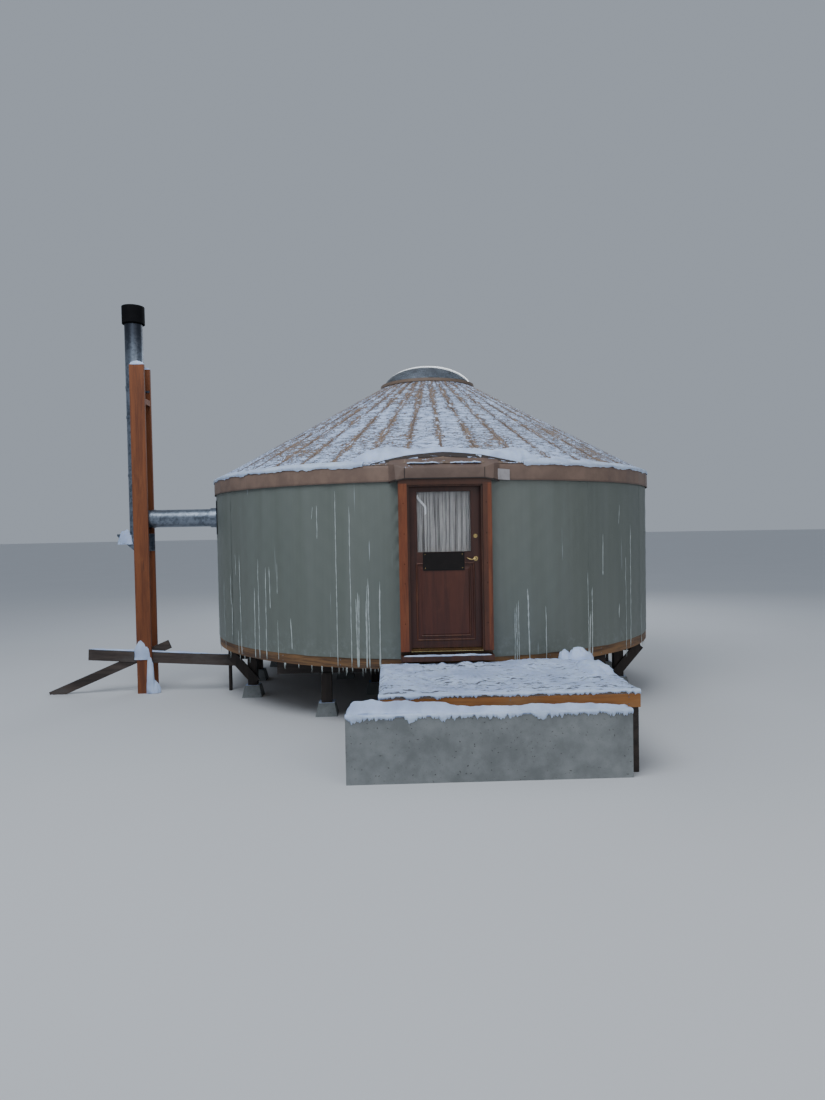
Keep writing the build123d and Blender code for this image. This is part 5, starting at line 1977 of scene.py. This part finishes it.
def bent_point(turn, across):
    """A pale tape on the inside of the glass: it runs down to the right and then straight down."""
    bend = smooth(turn * 1.6)
    middle = Vector(
        (panel_left + 0.015 + 0.105 * bend, 0, glass_top - 0.055 - 0.21 * turn - 0.03 * bend)
    )
    middle.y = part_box("door_glass")[1].y + 0.006
    return middle + Vector(((across - 0.5) * 0.022, 0, (across - 0.5) * 0.014))


tape = strip_along("window_tape", bent_point, 0.0, 1.0, 24, 3, 0.001)
finished(tape, "door", pale_tape, round_under=60)

# %% Lever handle
lever_lo, lever_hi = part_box("lever_handle")
lever_z = (lever_lo.z + lever_hi.z) / 2
deselect()
bpy.ops.mesh.primitive_cylinder_add(vertices=20, radius=1, depth=1, rotation=(0, math.pi / 2, 0))
lever = named("curved_lever")
place(lever)
cut_lengthways(0, 0.5, 39)


def curved(co):
    """From the spindle out of the door, round a bend and along to a drooping tip on the left."""
    share = 0.5 - co.x
    out = smooth(share / 0.22)
    along = smooth((share - 0.10) / 0.9) if share > 0.10 else 0.0
    x = lever_hi.x - 0.013 - (lever_hi.x - lever_lo.x - 0.022) * along
    y = lever_hi.y - 0.001 + (lever_lo.y + 0.011 - lever_hi.y) * out
    droop = -0.010 * math.sin(math.pi * along) + 0.012 * along ** 3
    thick = 0.0085 - 0.0022 * along + 0.0015 * smooth((along - 0.9) / 0.1)
    ends = math.sqrt(max(0.0, 1 - max(0.0, (share - 0.96) / 0.04) ** 2))
    if share < 0.16:
        return Vector((x + co.y * thick, y, lever_z + droop + co.z * thick))
    return Vector((x, y + co.y * thick * 0.75 * ends, lever_z + droop + co.z * thick * ends))


shape(lever, curved)
outward(lever)
finished(lever, "lever", brass, round_under=60)
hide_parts("lever_handle")

# %% Label patch on the roof band
label_start, label_turn = 10.6, 2.75
label_foot, label_height = 3.135, 0.135


def label_point(turn, across):
    angle = math.radians(label_start + label_turn * turn)
    plan = polar(eave_r + 0.004, math.degrees(angle))
    slope = 0.010 * turn
    return Vector((plan.x, plan.y - 0.006, label_foot + label_height * across - slope))


label = strip_along("label_patch", label_point, 0.0, 1.0, 20, 12, 0.0015)
finished(label, "yurt", label_white)

# %% [markdown]
# ## Skylight bubble
# The dome is blown from flat acrylic sheet: it rises steeply from a flat lip and is flatter on top
# than a ball. A sphere gives the start, its lower half is deleted, and each ring is moved to that
# profile. The lip is an extruded ring of edges, and Solidify gives the sheet its five millimetres.

# %% Skylight bubble
dome_lo, dome_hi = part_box("dome")
bubble_r = dome_hi.x - 0.012
deselect()
bpy.ops.mesh.primitive_uv_sphere_add(segments=96, ring_count=40, radius=1)
bubble = named("skylight_bubble")
bpy.ops.object.mode_set(mode="EDIT")
pick("verts", lambda vert: vert.co.z < -0.01)
bpy.ops.mesh.delete(type="VERT")
pick("edges", lambda edge: edge.is_boundary)
bpy.ops.mesh.extrude_region_move(TRANSFORM_OT_translate={"value": (0, 0, 0)})
bpy.ops.transform.resize(value=(1.0001, 1.0001, 1))
bpy.ops.object.mode_set(mode="OBJECT")


def blown(co):
    """Bubble profile: height falls off slowly at first and then steeply to the lip."""
    level = min(co.xy.length, 1.0)
    out = 0.985 if level < 0.99999 else 1.0
    if co.xy.length > 1.00005:
        out = dome_hi.x / bubble_r
    rise = max(0.0, 1 - level ** 2.2) ** 0.66
    z = dome_lo.z + 0.006 + rise * (dome_hi.z - dome_lo.z - 0.008)
    return Vector((co.x * bubble_r * out, co.y * bubble_r * out, z))


shape(bubble, blown)
modify(bubble, "SOLIDIFY", thickness=0.005, offset=-1)
finished(bubble, "yurt", acrylic, round_under=50)
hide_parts("dome")

# %% [markdown]
# ## Ridges of the roof
# Each rafter lifts the cloth to a soft ridge where the cover is doubled and welded. A narrow strip
# follows each ridge from the eave to the dome, and its tan shows between the strips of snow.

# %% Ridge welts
def welt_point(angle):
    def point(turn, across):
        r = eave_r - 0.004 - turn * (eave_r - top_r - 0.012)
        off = (across - 0.5) * 0.030
        raised = 0.0035 * (1 - (2 * across - 1) ** 2) + 0.0012
        at = roof_point(angle + 1e-5, r, raised)
        return at + Vector((math.cos(angle), math.sin(angle), 0)) * off
    return point


welts = [
    strip_along(f"welt_{n}", welt_point(n * bay), 0.0, 1.0, 40, 5, 0.0012) for n in range(rafter_count)
]
ridge_welts = joined(welts, "ridge_welts")
finished(ridge_welts, "yurt", roof_tan, round_under=60)

# %% [markdown]
# ## Floor, light and camera
# The building stands on a plain pale floor. A wide soft light above and a weaker one from the front
# stand for an overcast sky, and the camera stands where the photograph was taken from.

# %% Floor
deselect()
bpy.ops.mesh.primitive_circle_add(vertices=96, radius=400, fill_type="NGON")
floor = named("floor")
floor_paint, net, shader, at = material("pale floor", roughness=0.9)
floor_tone = net.mix(net.noise(at, 0.3, 2.0), (0.62, 0.63, 0.65, 1), (0.66, 0.67, 0.69, 1))
net.give(shader, "Base Color", floor_tone)
floor.data.materials.append(floor_paint)
floor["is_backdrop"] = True

# %% Lights
world = bpy.data.worlds.new("soft sky")
bpy.context.scene.world = world
world.use_nodes = True
world.node_tree.nodes["Background"].inputs["Color"].default_value = (0.78, 0.87, 1.0, 1)
world.node_tree.nodes["Background"].inputs["Strength"].default_value = 0.42


def area_light(name, at, aim, size, power, colour):
    deselect()
    bpy.ops.object.light_add(type="AREA", location=at)
    light = bpy.context.object
    light.name = name
    light.data.shape = "DISK"
    light.data.size = size
    light.data.energy = power
    light.data.color = colour
    light.rotation_euler = (Vector(aim) - Vector(at)).to_track_quat("-Z", "Y").to_euler()
    return light


area_light("sky_light", (-4, -9, 13), (0, 0, 2), 9, 1150, (0.90, 0.95, 1.0))
area_light("front_light", (6, -14, 6), (0, 0, 2), 7, 260, (1.0, 0.97, 0.93))
area_light("back_light", (3, 12, 10), (0, 0, 3), 9, 600, (0.88, 0.94, 1.0))

# %% Camera
photo_height = 1100
focal_px = 740.49
camera_place = (-0.690, -12.798, 2.50)
forward = Vector((0.030, 0.999, -0.025)).normalized()
up = Vector((0.019, 0.024, 1.0))
right = forward.cross(up).normalized()
up = right.cross(forward)
deselect()
bpy.ops.object.camera_add(location=camera_place)
camera = bpy.context.object
camera.name = "photo_camera"
camera.rotation_euler = Matrix((right, up, -forward)).transposed().to_euler()
camera.data.sensor_fit = "VERTICAL"
camera.data.sensor_height = 36
camera.data.lens = focal_px / photo_height * camera.data.sensor_height
camera.data.dof.use_dof = False
bpy.context.scene.camera = camera
print(f"camera {camera.data.lens:.1f} mm, {camera.location.z:.2f} m above the ground")

# %% [markdown]
# Cloth and snow may stand a little proud of the imported model, and no more. The box round the
# dressed scene is printed.

# %% Print the box round the dressed scene
dressed_box = [list(corner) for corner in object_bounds()]
for axis, low, high in zip("XYZ", *dressed_box):
    print(f"{axis}: {low:.3f} to {high:.3f} m")
